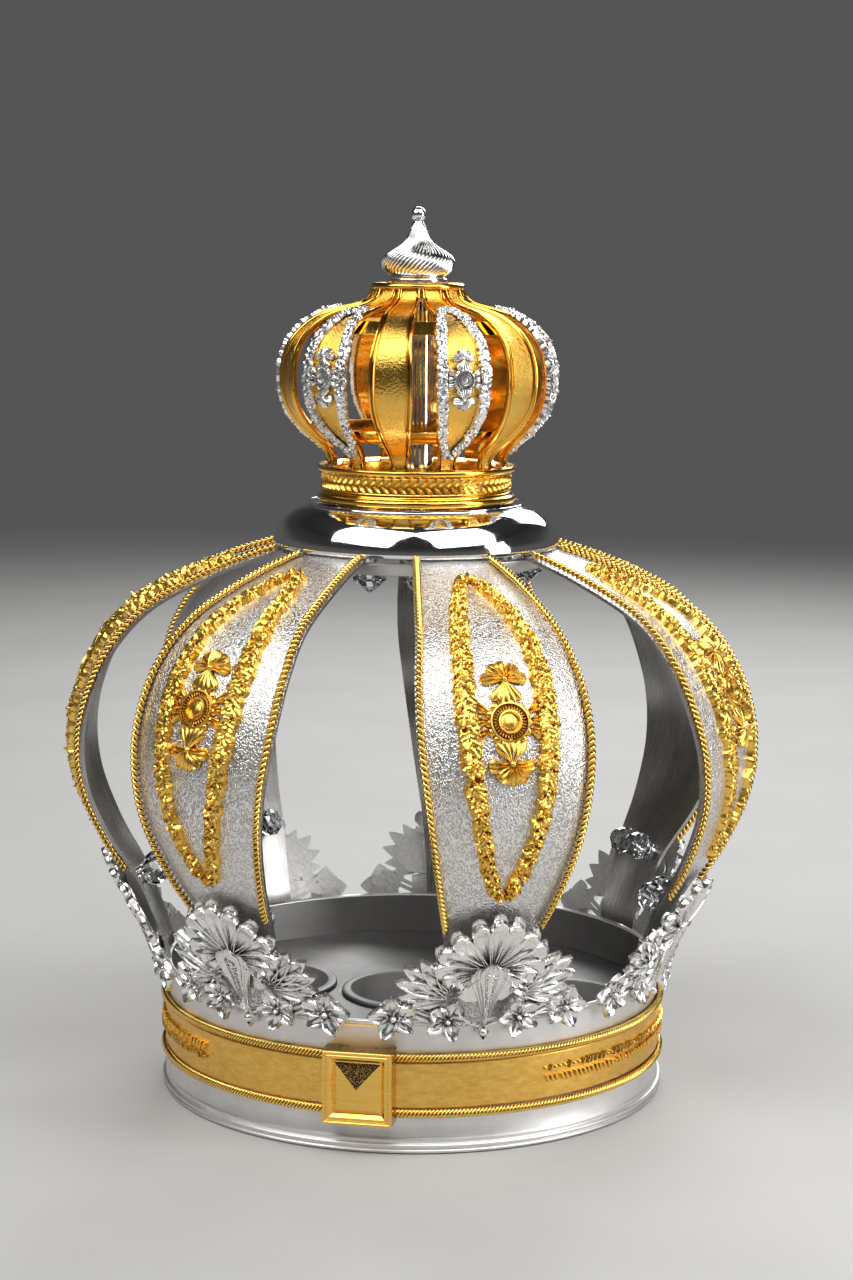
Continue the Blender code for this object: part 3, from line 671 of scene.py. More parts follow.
ribs = {
    "path": [                    # outer face at the middle: radius, height, half width
        (50.0, 213.2, 15.0), (57.0, 212.9, 16.0), (80.5, 205.4, 21.5), (105.5, 193.8, 27.2),
        (121.5, 178.5, 31.3), (131.0, 160.0, 32.8), (134.5, 141.0, 31.3), (131.8, 121.0, 28.0),
        (122.2, 100.2, 22.8), (110.5, 82.4, 17.5), (103.2, 66.0, 14.4), (98.9, 55.0, 12.8),
        (98.2, 50.3, 12.6),
    ],
    "crown": 2.6,                # how much fuller than round the face is at the widest place
    "thickness": 1.2,
    "along": 96,
    "acrossCount": 28,
    "innerCount": 9,
    "wireRadius": 1.5,
    "wireStart": 0.03,
    "wireEnd": 0.815,
    "wireStep": 0.56,
    "wire": {"strands": 2, "lead": 4.3, "wind": 0.70, "thick": 0.86, "depth": 1.0},
}
rib = ribSurface(ribs["path"], ribs["crown"])
ribTurns = {number: turnOf("stave_" + number) for number in "1234567"}


def shareAt(height):
    # share of a rib's length at a height, on its lower part
    lower = rib["shares"] > 0.3
    return float(np.interp(-height, -rib["rows"][lower, 1], rib["shares"][lower]))


def hammeredSilver():
    # outside of the ribs: bright silver with a close grain of short pits, like fine hide
    finish = newFinish("hammered_silver", (0.86, 0.85, 0.84), 0.24)
    tree = finish["tree"]
    spot = ownSpot(finish, 1.0, 1.0, 0.62)
    warp = addNode(tree, "ShaderNodeTexNoise", {"Vector": spot, "Scale": 420.0, "Detail": 2.0})
    warped = addNode(tree, "ShaderNodeMix", {0: 0.0016, 4: spot, 5: warp.outputs["Color"]},
                     data_type="VECTOR")
    pits = addNode(tree, "ShaderNodeTexVoronoi",
                   {"Vector": warped.outputs[1], "Scale": 1480.0, "Randomness": 1.0})
    hollow = addNode(tree, "ShaderNodeMapRange",
                     {"Value": pits.outputs["Distance"], "From Min": 0.22, "From Max": 0.68},
                     interpolation_type="SMOOTHSTEP").outputs["Result"]
    hide = noiseOf(finish, spot, 620.0, 2.0)
    giveGrain(finish, worked(finish, "MULTIPLY_ADD", hide, 1.3, hollow), 0.85, 0.20)
    giveTone(finish, hollow, [(0.0, (0.54, 0.53, 0.52)), (0.6, (0.80, 0.79, 0.78)),
                              (1.0, (0.87, 0.86, 0.85))])
    giveGloss(finish, noiseOf(finish, spot, 40.0, 4.0), ((0.3, 0.25), (0.7, 0.36)))
    return finish["material"]


def innerSilver():
    # inside of the ribs: satin, with long faint brush lines
    finish = newFinish("inner_silver", (0.44, 0.43, 0.42), 0.32)
    lines = noiseOf(finish, ringSpot(finish, 420.0, 9.0, 9.0), 1.0, 4.0)
    giveGloss(finish, lines, ((0.3, 0.24), (0.7, 0.33)))
    giveTone(finish, noiseOf(finish, ownSpot(finish, 16.0), 5.0, 3.0),
                [(0.3, (0.38, 0.37, 0.36)), (0.7, (0.48, 0.47, 0.46))])
    return finish["material"]


hammered = hammeredSilver()
inner = innerSilver()


def shellBetween(outer, inside):
    # two sheets of points with equally many rows, joined along their edges into one closed body
    rows, columns = outer.shape[:2]
    under = inside.shape[1]
    points = np.concatenate([outer.reshape(-1, 3), inside.reshape(-1, 3)])
    half = rows * columns
    faces = gridFaces(rows, columns)
    split = len(faces)
    faces += gridFaces(rows, under, start=half, flip=True)
    for i in range(rows - 1):
        here, below = i * columns, (i + 1) * columns
        hidden, hiddenBelow = half + i * under, half + (i + 1) * under
        faces.append((here, below, hiddenBelow, hidden))
        faces.append((below + columns - 1, here + columns - 1, hidden + under - 1,
                      hiddenBelow + under - 1))
    faces.append((*range(columns - 1, -1, -1), *range(half, half + under)))
    last = half - columns
    faces.append((*range(last, half), *range(len(points) - 1, len(points) - 1 - under, -1)))
    return points, faces, split


def makeRibs():
    shares = np.linspace(0.0, 1.0, ribs["along"])[:, None]
    half = ribRow(rib, shares)[2]
    across, innerAcross = (half * np.linspace(-1.0, 1.0, ribs[key])[None, :]
                           for key in ("acrossCount", "innerCount"))
    wireSpan = ribs["wireEnd"] - ribs["wireStart"]
    wireCount = int(rib["length"] * wireSpan / ribs["wireStep"])
    wireShares = np.linspace(ribs["wireStart"], ribs["wireEnd"], wireCount)
    wireHalf = ribRow(rib, wireShares)[2]
    for number, turn in ribTurns.items():
        outer = ribPoints(rib, shares, across, 0.0, turn)
        inside = ribPoints(rib, shares, innerAcross, -ribs["thickness"], turn)
        points, faces, split = shellBetween(outer, inside)
        finishes = [0] * split + [1] * (len(faces) - split)
        makePiece("rib_" + number, points, faces, [hammered, inner],
                  ["stave_" + number], 50.0, finishes)
        for side, sign in (("left", -1.0), ("right", 1.0)):
            lie = sign * (wireHalf - ribs["wireRadius"] * 0.9)
            lift = ribs["wireRadius"] + 0.1
            centre = ribPoints(rib, wireShares, lie, lift, turn)
            off = unitRows(ribPoints(rib, wireShares, lie, lift + 1.0, turn) - centre)
            sideways = unitRows(np.cross(np.gradient(centre, axis=0), off)) * sign
            points, faces = twistedWire(centre, off, sideways, ribs["wire"], 5, False)
            makePiece(f"rib_wire_{number}_{side}", points, faces, [gold],
                      [f"stave_rope_{number}_{side}"], 180.0)


makeRibs()
print("ribs made")


# castings: small reliefs laid on a flat sheet as (across, up, lift), then bent onto their place

def newCasting():
    return {"points": [], "faces": [], "count": 0}


def lay(casting, shape, at=(0.0, 0.0), turn=0.0, size=1.0, lift=0.0, mirror=1.0):
    points, faces = shape
    local = points * [size * mirror, size, size]
    turn = turn * mirror
    across = at[0] * mirror + local[:, 0] * cos(turn) - local[:, 1] * sin(turn)
    up = at[1] + local[:, 0] * sin(turn) + local[:, 1] * cos(turn)
    casting["points"].append(np.stack([across, up, local[:, 2] + lift], axis=1))
    for face in shifted(faces, casting["count"]):
        casting["faces"].append(face[::-1] if mirror < 0 else face)
    casting["count"] += len(points)


def castPoints(casting):
    return np.concatenate(casting["points"])


outlines = {                     # share of the length, share of the half width
    "tulip": ((0.0, 0.12), (0.25, 0.26), (0.5, 0.52), (0.72, 0.92), (0.85, 1.0), (0.95, 0.70),
              (1.0, 0.25)),
    "lobe": ((0.0, 0.30), (0.25, 0.52), (0.55, 0.86), (0.78, 1.0), (0.92, 0.80), (0.98, 0.45),
             (1.0, 0.12)),
    "point": ((0.0, 0.34), (0.22, 0.72), (0.48, 1.0), (0.70, 0.82), (0.88, 0.42), (1.0, 0.05)),
    "spoon": ((0.0, 0.22), (0.35, 0.42), (0.62, 0.90), (0.80, 1.0), (0.93, 0.72), (1.0, 0.16)),
    "blade": ((0.0, 0.55), (0.3, 0.95), (0.55, 1.0), (0.8, 0.65), (1.0, 0.06)),
    "round": ((0.0, 0.42), (0.2, 0.80), (0.5, 1.0), (0.8, 0.86), (0.95, 0.50), (1.0, 0.18)),
}


def sectionOf(kind, t, share):
    # height across a petal, t from -1 at one edge to 1 at the other
    if kind == "domed":
        return np.sqrt(1.0 - 0.88 * t ** 2)
    if kind == "cupped":
        return 0.42 + 0.58 * t ** 2
    if kind == "ridged":
        return 1.0 - 0.72 * np.abs(t)
    if kind == "spooned":        # hollow, with a rim round its end and a fine rib up its middle
        edge = np.abs(t)
        rim = np.exp(-((edge - 0.80) / 0.17) ** 2)
        end = np.exp(-((share - 0.90) / 0.09) ** 2) * (edge < 0.95)
        vein = 0.42 * np.exp(-(t / 0.15) ** 2) * (1.0 - share ** 3)
        return 0.36 + 0.64 * np.maximum(np.maximum(rim, end), vein)
    if kind == "fluted":
        return 0.78 + 0.22 * np.cos(3 * pi * t)
    return 0.88 + (0.03 + 0.10 * share) * np.cos(9 * pi * t)     # finely veined


def petal(length, width, height, outline, section, bend=0.0, tip=0.0, rows=9, columns=8):
    # closed relief that grows from the origin along +Y; tip lifts its end
    shares = 1.0 - (1.0 - np.linspace(0.0, 1.0, rows)) ** 1.35
    controls = np.array(outlines[outline])
    half = np.interp(shares, controls[:, 0], controls[:, 1]) * width / 2
    heading = bend * shares
    steps = np.diff(shares, prepend=0.0) * length
    middleX = np.cumsum(np.sin(heading) * steps)
    middleY = np.cumsum(np.cos(heading) * steps)
    t = np.linspace(-1.0, 1.0, columns + 1)[None, :]
    x = middleX[:, None] + np.cos(heading)[:, None] * half[:, None] * t
    y = middleY[:, None] - np.sin(heading)[:, None] * half[:, None] * t
    rise = 0.62 + 0.38 * np.sin(pi * shares ** 0.8)
    z = height * rise[:, None] * sectionOf(section, t, shares[:, None])
    z = z + tip * (shares ** 2.5)[:, None]
    top = np.stack([x, y, z], axis=-1)
    under = top[:, [0, -1]].copy()
    under[:, :, 2] = (tip * 0.55 * shares ** 2.5)[:, None]
    wide = columns + 1
    count = rows * wide
    faces = gridFaces(rows, wide)
    for i in range(rows - 1):
        left, right = count + 2 * i, count + 2 * i + 1
        faces.append((left, left + 2, right + 2, right))
        faces.append((i * wide, (i + 1) * wide, left + 2, left))
        faces.append(((i + 1) * wide + columns, i * wide + columns, right, right + 2))
    faces.append((count, count + 1, *range(wide)[::-1]))
    last = (rows - 1) * wide
    faces.append((*range(last, last + wide), count + 2 * rows - 1, count + 2 * rows - 2))
    points = np.concatenate([top.reshape(-1, 3), under.reshape(-1, 3)])
    return points, outwards(points, faces)


def ridge(path, widths, height, sides=6, flat=1.0):
    # half-round strip along a path on the sheet
    path = np.asarray(path, float)
    run = unitRows(np.gradient(path, axis=0))
    side = np.stack([run[:, 1], -run[:, 0]], axis=1)
    widths = np.broadcast_to(widths, len(path))
    t = np.cos(np.linspace(0.0, pi, sides))
    lift = np.sin(np.linspace(0.0, pi, sides)) ** flat
    across = path[:, None, :] + side[:, None, :] * (widths[:, None] * t[None, :] / 2)[:, :, None]
    heights = np.broadcast_to(height, len(path))[:, None] * lift[None, :]
    points = np.concatenate([across, heights[:, :, None]], axis=2).reshape(-1, 3)
    faces = gridFaces(len(path), sides, closedColumns=True) + capFaces(len(path), sides)
    return points, outwards(points, faces)


def bead(radius, height, sides, rings):
    turns = turnsOf(sides)
    levels = np.linspace(0.0, pi / 2, rings + 1)[:-1]
    points = [(radius * cos(a) * cos(b), radius * cos(a) * sin(b), height * sin(a))
              for a in levels for b in turns]
    points.append((0.0, 0.0, height))
    faces = gridFaces(rings, sides, closedColumns=True)
    last = (rings - 1) * sides
    faces += [(last + k, last + (k + 1) % sides, len(points) - 1) for k in range(sides)]
    faces.append(tuple(range(sides))[::-1])
    points = np.array(points)
    return points, outwards(points, faces)


def ringRelief(radius, width, height, count):
    turns = np.arange(count + 1) * 2 * pi / count
    path = np.stack([radius * np.cos(turns), radius * np.sin(turns)], axis=1)
    return ridge(path, width, height)


def joined(parts):
    # several placed shapes as one shape
    casting = newCasting()
    for shape, facts in parts:
        lay(casting, shape, **facts)
    return castPoints(casting), casting["faces"]


# gold scroll work on the ribs

scroll = {
    "start": 0.118,              # shares of the rib's length
    "end": 0.732,
    "widest": 18.8,
    "blunt": 5.4,
    "bow": 2.4,
    "border": (5.4, 8.2),        # width of the leafy border at the ends and at the middle
    "cell": 0.47,
    "unit": 4.0,                 # step from one pair of leaves to the next
    "tall": 2.5,
    "seed": 41,
    "medallionHeight": 165.0,
}
foliage = {                      # shares of the border's breadth
    "leafReach": (0.38, 0.50),
    "leafOut": (0.20, 0.27),
    "leafLean": (0.45, 1.25),    # radians out of the border's line
    "turnedBack": 0.22,          # how many leaves point the other way
    "voluteReach": (0.13, 0.19),
    "voluteOut": 0.37,
    "flowerReach": (0.30, 0.36),
    "flowerEvery": 4,            # pairs of leaves to one flower
    "cut": 0.20,                 # how far the cut edges sway, in steps between leaves
}


def lensHalf(place, widest, blunt):
    return blunt + (widest - blunt) * np.sin(pi * np.clip(place, 0.0, 1.0)) ** 0.9


def borderLine(length, settings):
    # middle of the leafy border on the right side, from the top end down, and its breadth
    place = np.linspace(0.0, 1.0, 161)
    thin, thick = settings["border"]
    broad = thin + (thick - thin) * np.sin(pi * place) ** 1.4
    across = lensHalf(place, settings["widest"], settings["blunt"]) - broad / 2
    return across, (0.5 - place) * length, broad


def stampLeaf(x, y, long, wide, tall):
    # pointed leaf with notched edges and a groove down its middle
    u = np.clip(x / long, -1.0, 1.0)
    half = wide * (1.0 + u) ** 0.6 * (1.0 - u) ** 0.8 * (1.0 + 0.14 * np.cos(2.6 * pi * u)) + 1e-6
    edge = np.abs(y) / half
    swell = 0.55 + 0.45 * np.sin(pi * (u + 1.0) / 2)
    groove = 0.34 * np.exp(-(y / (0.24 * wide)) ** 2) * (u > -0.8)
    dome = np.sqrt(np.maximum(0.0, 1.0 - edge ** 2)) * swell - groove
    return np.where((edge < 1.0) & (np.abs(x) < long), 0.4 + tall * (dome + 0.12 * u), 0.0)


def stampVolute(x, y, size, tall):
    away = np.hypot(x, y) / size
    coil = np.cos(2 * pi * (1.7 * away - np.arctan2(y, x) / (2 * pi)))
    return np.where(away < 1.0, 0.6 + tall * (0.62 + 0.38 * coil) * (1.0 - away ** 6), 0.0)


def stampFlower(x, y, size, tall):
    away = np.hypot(x, y) / size
    lobes = 0.64 + 0.36 * np.abs(np.cos(2.5 * np.arctan2(y, x)))
    bud = 0.5 * np.exp(-(away / 0.26) ** 2) - 0.45 * np.exp(-((away - 0.42) / 0.12) ** 2)
    dome = np.sqrt(np.maximum(0.0, 1.0 - away ** 2))
    return np.where(away < lobes, 0.6 + tall * (dome * lobes + bud), 0.0)


def foliageStrip(pathX, pathY, widths, settings, rng):
    # one strip of the border, as a sheet of small overlapping leaves, flowers and volutes
    steps = lengthsAlong(pathX, pathY)
    total = steps[-1]
    cell = settings["cell"]
    rows = int(total / cell)
    columns = int(max(widths) / cell) + 1
    s = np.linspace(0.0, total, rows)
    x, y, wide = (np.interp(s, steps, values) for values in (pathX, pathY, widths))
    run = unitRows(np.stack([np.gradient(x), np.gradient(y)], axis=1))
    v = np.linspace(-1.0, 1.0, columns)
    t = v[None, :] * wide[:, None] / 2
    unit = settings["unit"]
    tall = settings["tall"]
    field = np.full(t.shape, 0.22)
    stem = 0.14 * wide * np.sin(2 * pi * s / (3.1 * unit))
    field = np.maximum(field, 0.62 * tall * np.exp(-((t - stem[:, None]) / (0.2 * unit)) ** 2))
    place = 0.2 * unit
    pair = 0
    while place < total:
        here = float(np.interp(place, s, wide))
        stamps = []
        for sign in (-1.0, 1.0):
            along = place + unit * (rng.uniform(-0.12, 0.12) + (0.45 if sign > 0 else 0.0))
            out = sign * here * rng.uniform(*foliage["leafOut"])
            lean = sign * rng.uniform(*foliage["leafLean"])
            lean += pi if rng.random() < foliage["turnedBack"] else 0.0
            stamps.append(("leaf", along, out, lean, here * rng.uniform(*foliage["leafReach"])))
            along -= 0.5 * unit * rng.uniform(0.7, 1.2)
            stamps.append(("volute", along, sign * here * foliage["voluteOut"], 0.0,
                           here * rng.uniform(*foliage["voluteReach"])))
        if pair % foliage["flowerEvery"] == 2:
            stamps.append(("flower", place + 0.2 * unit, 0.0, 0.0,
                           here * rng.uniform(*foliage["flowerReach"])))
        for kind, s0, t0, lean, reach in stamps:
            high = tall * rng.uniform(0.75, 1.1)
            first, past = (int((s0 + step * 1.3 * reach) / cell) for step in (-1.0, 1.0))
            near = slice(max(0, first), max(0, past + 1))
            dx = s[near, None] - s0
            dy = t[near] - t0
            if kind == "leaf":
                stamp = stampLeaf(dx * cos(lean) + dy * sin(lean), dy * cos(lean) - dx * sin(lean),
                                  reach, reach * 0.50, high)
            elif kind == "volute":
                stamp = stampVolute(dx, dy, reach, high * 0.85)
            else:
                stamp = stampFlower(dx, dy, reach, high)
            field[near] = np.maximum(field[near], stamp)
        place += unit * rng.uniform(0.9, 1.05)
        pair += 1
    knots = np.arange(0.0, total + unit, unit * 0.5)
    for edge in (np.minimum(v, 0.0), np.maximum(v, 0.0)):    # uneven cut edges
        sways = [rng.uniform(-foliage["cut"], foliage["cut"]) * unit for _ in knots]
        sway = np.interp(s, knots, sways)
        t += edge[None, :] * sway[:, None]
    rim = np.clip((1.0 - np.abs(v)) / (1.6 / columns), 0.0, 1.0)[None, :]
    ends = np.clip(np.minimum(s, total - s) / (1.2 * cell), 0.0, 1.0)[:, None]
    lift = (field + 0.1) * np.minimum(rim, ends) - 0.1
    across = x[:, None] + run[:, 1][:, None] * t
    up = y[:, None] - run[:, 0][:, None] * t
    faces = gridFaces(rows, columns)
    for i in range(rows - 1):
        faces.append((i * columns, (i + 1) * columns, (i + 2) * columns - 1, (i + 1) * columns - 1))
    faces += capFaces(rows, columns)
    points = np.stack([across, up, lift], axis=-1).reshape(-1, 3)
    return points, outwards(points, faces)


def medallion():
    # boss inside a ring of rays and a ring of round petals
    parts = [(bead(8.0, 1.1, 40, 2), {})]
    parts += [(petal(2.8, 3.6, 1.5, "round", "domed", rows=5, columns=6),
               {"at": (6.0 * cos(a), 6.0 * sin(a)), "turn": a - pi / 2}) for a in turnsOf(14)]
    parts.append((ringRelief(6.7, 1.3, 2.3, 48), {}))
    parts += [(petal(1.5, 0.62, 0.9, "blade", "domed", rows=3, columns=4),
               {"at": (4.7 * cos(a), 4.7 * sin(a)), "turn": a - pi / 2, "lift": 1.25})
              for a in turnsOf(32)]
    return joined(parts + [(ringRelief(3.9, 1.5, 2.4, 40), {}), (bead(3.0, 1.7, 28, 2), {})])


def crest():
    # hood of five lobes over a fluted fan that opens the other way
    hood = petal(9.2, 3.7, 2.1, "spoon", "domed", rows=8, columns=6)
    parts = [(hood, {"turn": pi + (k / 2 - 1) * 0.60, "lift": 0.08 * (k % 2)}) for k in range(5)]
    lobes = ((1.25, 8.6, 5.0, -0.5, 0.5), (-1.25, 8.6, 5.0, 0.5, 0.5), (0.62, 7.6, 5.6, -0.2, 0.75),
             (-0.62, 7.6, 5.6, 0.2, 0.75), (0.0, 7.4, 5.6, 0.0, 1.0))
    for angle, long, wide, bend, lift in lobes:
        fan = petal(long, wide, 1.8, "lobe", "fluted", bend=bend, tip=-0.5, rows=9, columns=12)
        parts.append((fan, {"turn": angle, "lift": lift}))
    return joined(parts + [(bead(1.5, 2.9, 12, 3), {})])


def scrollCasting(length, settings):
    rng = random.Random(settings["seed"])
    casting = newCasting()
    across, up, broad = borderLine(length, settings)
    for mirror in (1.0, -1.0):
        lay(casting, foliageStrip(across * mirror, up, broad, settings, rng))
    # the two sides join in a bow at each end
    bow = np.linspace(0.0, pi, 40)
    for end, side in ((0, 1.0), (-1, -1.0)):
        bowX = (across[end] + 0.3) * np.cos(bow)
        bowY = up[end] + side * (settings["bow"] * np.sin(bow) - 0.6)
        bowWidths = np.full(len(bow), 0.86 * broad[end])
        lay(casting, foliageStrip(bowX, bowY, bowWidths, settings, rng))
    return casting


def addHeart(casting, centre, size, reachX):
    # medallion with a crest above and one below, tied to the border by side leaves
    lay(casting, medallion(), at=(0.0, centre), size=size)
    for turn, away in ((0.0, 15.6), (pi, -14.6)):
        lay(casting, crest(), at=(0.0, centre + away * size), turn=turn, size=size)
    tie = petal(5.4, 4.4, 1.9, "lobe", "fluted", columns=10)
    for mirror in (1.0, -1.0):
        for drop, lean in ((-2.6, -0.45), (0.6, 0.0), (3.8, 0.5)):
            lay(casting, tie, at=(reachX * size, centre + drop * size), turn=-pi / 2 + lean,
                size=size, mirror=mirror, lift=0.15)


def panelCasting(surface, settings, heartShare, size, reachX):
    # border and heart of one panel, and the share of the rib at its middle
    middle = (settings["start"] + settings["end"]) / 2
    casting = scrollCasting((settings["end"] - settings["start"]) * surface["length"], settings)
    addHeart(casting, (middle - heartShare) * surface["length"], size, reachX)
    return casting, middle


def bendOnRib(casting, surface, middleShare, turn, lift=0.0):
    points = castPoints(casting)
    share = middleShare - points[:, 1] / surface["length"]
    return ribPoints(surface, share, points[:, 0], points[:, 2] + lift, turn)


def makeScrolls():
    casting, middle = panelCasting(rib, scroll, shareAt(scroll["medallionHeight"]), 1.0, 7.4)
    for number, turn in ribTurns.items():
        makePiece("rib_scroll_" + number, bendOnRib(casting, rib, middle, turn), casting["faces"],
                  [castGold], ["stave_scroll_" + number], 38.0)
    print("scroll faces each:", len(casting["faces"]))


def castGoldFinish():
    # frosted cast gold, with painted shade darkening its hollows
    colour = (0.96, 0.61, 0.13)
    finish = newFinish("cast_gold", colour, 0.34)
    givePaintedHollowShade(finish, colour, (0.30, 0.12, 0.01), 1.3, 0.18, 0.74)
    skin = noiseOf(finish, ownSpot(finish, 1.0), 900.0, 3.0)
    giveGloss(finish, skin, ((0.3, 0.22), (0.75, 0.36)))
    giveGrain(finish, skin, 0.25, 0.12)
    return finish["material"]


castGold = castGoldFinish()
makeScrolls()
print("scroll work made")


# palmette leaves at the ribs' feet

leaf = {
    "back": [                    # radius and height of the flat back, from the rim up
        (99.4, 43.0), (99.6, 46.0), (99.9, 51.0), (103.2, 60.0), (107.8, 70.0), (111.9, 78.0),
        (116.4, 86.0), (119.6, 92.0), (122.4, 97.5),
    ],
    "fanHeight": 73.0,           # where the lobes of the middle fan start
    "wingAt": (15.0, 60.5),      # where the lobes of each side leaf start
    "rosettes": ((13.2, 51.4, 8.6), (32.6, 52.6, 9.4)),
    "fanLobes": (                # angle, length, width, bend, lift
        (0.0, 20.6, 7.4, 0.0, 1.5), (0.37, 19.8, 7.6, -0.04, 1.1), (0.74, 19.6, 7.4, 0.08, 1.3),
        (1.08, 20.2, 7.0, 0.20, 1.0), (1.40, 19.6, 6.4, 0.28, 1.2), (1.70, 16.4, 5.6, 0.36, 0.9),
        (1.98, 12.6, 4.8, 0.40, 1.0),
    ),
    "wingLobes": (
        (0.30, 16.8, 6.2, 0.20, 0.2), (0.60, 20.4, 7.0, 0.12, 0.6), (0.90, 22.4, 7.2, 0.10, 0.3),
        (1.18, 21.4, 7.0, 0.12, 0.7), (1.46, 18.8, 6.4, 0.16, 0.4), (1.74, 14.6, 5.6, 0.20, 0.6),
    ),
    "tulip": ((0.17, 24.6, 8.0, 2.0), (-0.17, 24.6, 8.0, 2.0), (0.0, 26.0, 8.6, 2.5)),
    "heart": (                   # how far up, width, height
        (50.0, 1.4, 3.4), (57.0, 1.7, 3.5), (62.5, 2.2, 3.7), (68.5, 3.4, 3.8), (73.5, 4.4, 3.3),
    ),
    "stipples": 110,
    "seed": 17,
}


def rosette(radius):
    # five pointed petals with a vein each, round a small beaded heart
    sepal = petal(radius * 0.76, radius * 0.50, 1.3, "point", "ridged", rows=6, columns=4)
    pointed = petal(radius, radius * 0.84, 2.6, "point", "spooned", tip=1.1, rows=8, columns=10)
    parts = []
    for k, angle in enumerate(turnsOf(5)):
        parts.append((sepal, {"turn": angle + pi / 5, "lift": 0.2}))
        parts.append((pointed, {"turn": angle, "lift": 0.6 + 0.25 * (k % 2)}))
    parts.append((bead(radius * 0.16, 3.9, 10, 3), {"lift": 0.5}))
    parts += [(bead(radius * 0.08, 3.1, 6, 2),
               {"at": (radius * 0.25 * cos(a), radius * 0.25 * sin(a)), "lift": 0.5})
              for a in turnsOf(5) + 0.6]
    return joined(parts)


def leafCasting():
    rng = random.Random(leaf["seed"])
    casting = newCasting()
    base = leaf["fanHeight"]
    wingX, wingY = leaf["wingAt"]
    # plates that close the gaps behind the lobes
    lay(casting, petal(23.0, 34.0, 0.9, "round", "finely veined", rows=10, columns=16),
        at=(0.0, 58.0))
    for mirror in (1.0, -1.0):
        lay(casting, petal(19.0, 17.0, 0.8, "round", "finely veined", rows=9, columns=10),
            at=(wingX - 5.0, wingY + 1.0), turn=-1.1, mirror=mirror)
        for angle, length, width, bend, lift in leaf["wingLobes"]:
            lay(casting, petal(length, width, 2.7, "point", "spooned", bend, 0.9, 11, 14),
                at=(wingX - 1.5, wingY + 1.0), turn=-angle, lift=lift, mirror=mirror)
        for angle, length, width, bend, lift in leaf["fanLobes"]:
            if angle == 0.0 and mirror < 0:
                continue
            lay(casting, petal(length, width, 3.1, "lobe", "spooned", bend, 0.8, 13, 16),
                at=(1.6 * sin(angle), base), turn=-angle, lift=lift, mirror=mirror)
            # lip that rolls back over the end of the lobe, towards the rib
            reach = length * (1.0 - 0.12 * abs(bend)) - 2.5
            lean = angle + bend * 0.5
            lay(casting, petal(4.0, width * 0.72, 1.9, "round", "cupped", 0.0, -1.4, 5, 6),
                at=(1.6 * sin(angle) + reach * sin(lean), base + reach * cos(lean)),
                turn=-lean, lift=lift - 0.3, mirror=mirror)
        # crescents under the side leaf
        for k in range(4):
            lay(casting, petal(12.5 - 2.2 * k, 3.2, 2.3, "blade", "ridged", bend=0.9, columns=6),
                at=(7.6 + 1.7 * k, 66.0 - 3.5 * k), turn=-(1.62 + 0.12 * k),
                lift=0.7 + 0.15 * (k % 2), mirror=mirror)
        (innerX, innerY, innerSize), (outerX, outerY, outerSize) = leaf["rosettes"]
        stem = np.stack([np.linspace(innerX - 1.0, outerX + 1.0, 8),
                         np.linspace(innerY - 3.0, outerY + 5.0, 8)], axis=1)
        for offset in (-1.1, 1.1):
            beside = (stem + [0.45 * offset, -0.9 * offset]) * [mirror, 1.0]
            lay(casting, ridge(beside, 1.7, 1.5), lift=0.1)
        lay(casting, rosette(innerSize), at=(innerX, innerY), turn=0.35, lift=0.35, mirror=mirror)
        lay(casting, rosette(outerSize), at=(outerX, outerY), turn=-0.25, lift=0.15, mirror=mirror)
        for k in range(3):
            lay(casting, petal(6.4 - k, 3.8, 1.7, "point", "ridged", bend=0.4, rows=7, columns=6),
                at=(22.0 + 1.4 * k, 57.5 - 1.6 * k), turn=-(1.2 + 0.5 * k), lift=0.2, mirror=mirror)
        arch = 47.5 + 1.8 * np.sin(np.linspace(0.0, pi, 9))
        foot = np.stack([np.linspace(1.0, 13.0, 9), arch], axis=1)
        lay(casting, ridge(foot * [mirror, 1.0], 1.9, 1.5))
    # tulip with fine veins, its stippled heart and beaded stem, ending in a drop
    for lean, long, wide, lift in leaf["tulip"]:
        lay(casting, petal(long, wide, 1.9, "tulip", "finely veined", 0.0, 0.9, 14, 22),
            at=(0.0, 50.4), turn=lean, lift=lift)
    heartUp, heartWidths, heartHeights = np.array(leaf["heart"]).T
    path = np.stack([0.0 * heartUp, heartUp], axis=1)
    lay(casting, ridge(path, heartWidths, heartHeights, 8, 0.5), lift=1.2)
    for k in range(leaf["stipples"]):
        y = 50.0 + 22.5 * (k / leaf["stipples"]) ** 0.62
        half = float(np.interp(y, [50, 61, 67, 71, 74], [0.35, 0.9, 1.8, 2.3, 2.0]))
        x = rng.uniform(-half, half)
        edge = 1.0 - 0.30 * (x / (half + 0.8)) ** 2
        lay(casting, bead(0.34, 0.7, 5, 1), at=(x, y), lift=3.7 * edge + 1.0)
    lay(casting, bead(2.0, 3.4, 12, 4), at=(0.0, 45.8), lift=0.2)
    drop = np.array([(0.0, 42.6), (2.3, 45.9), (0.0, 48.6), (-2.3, 45.9), (0.0, 42.6)])
    lay(casting, ridge(drop, 1.0, 2.3))
    return casting


def bendOnLeaf(casting, turn):
    path, _ = curvePath(leaf["back"], 120)
    run = unitRows(np.gradient(path, axis=0))
    points = castPoints(casting)
    height = np.clip(points[:, 1], path[0, 1], path[-1, 1])
    radius = np.interp(height, path[:, 1], path[:, 0])
    normalOut = np.interp(height, path[:, 1], run[:, 1])
    normalUp = np.interp(height, path[:, 1], -run[:, 0])
    lift = points[:, 2]
    return polar(radius + normalOut * lift, points[:, 1] + normalUp * lift,
                 turn + points[:, 0] / radius)


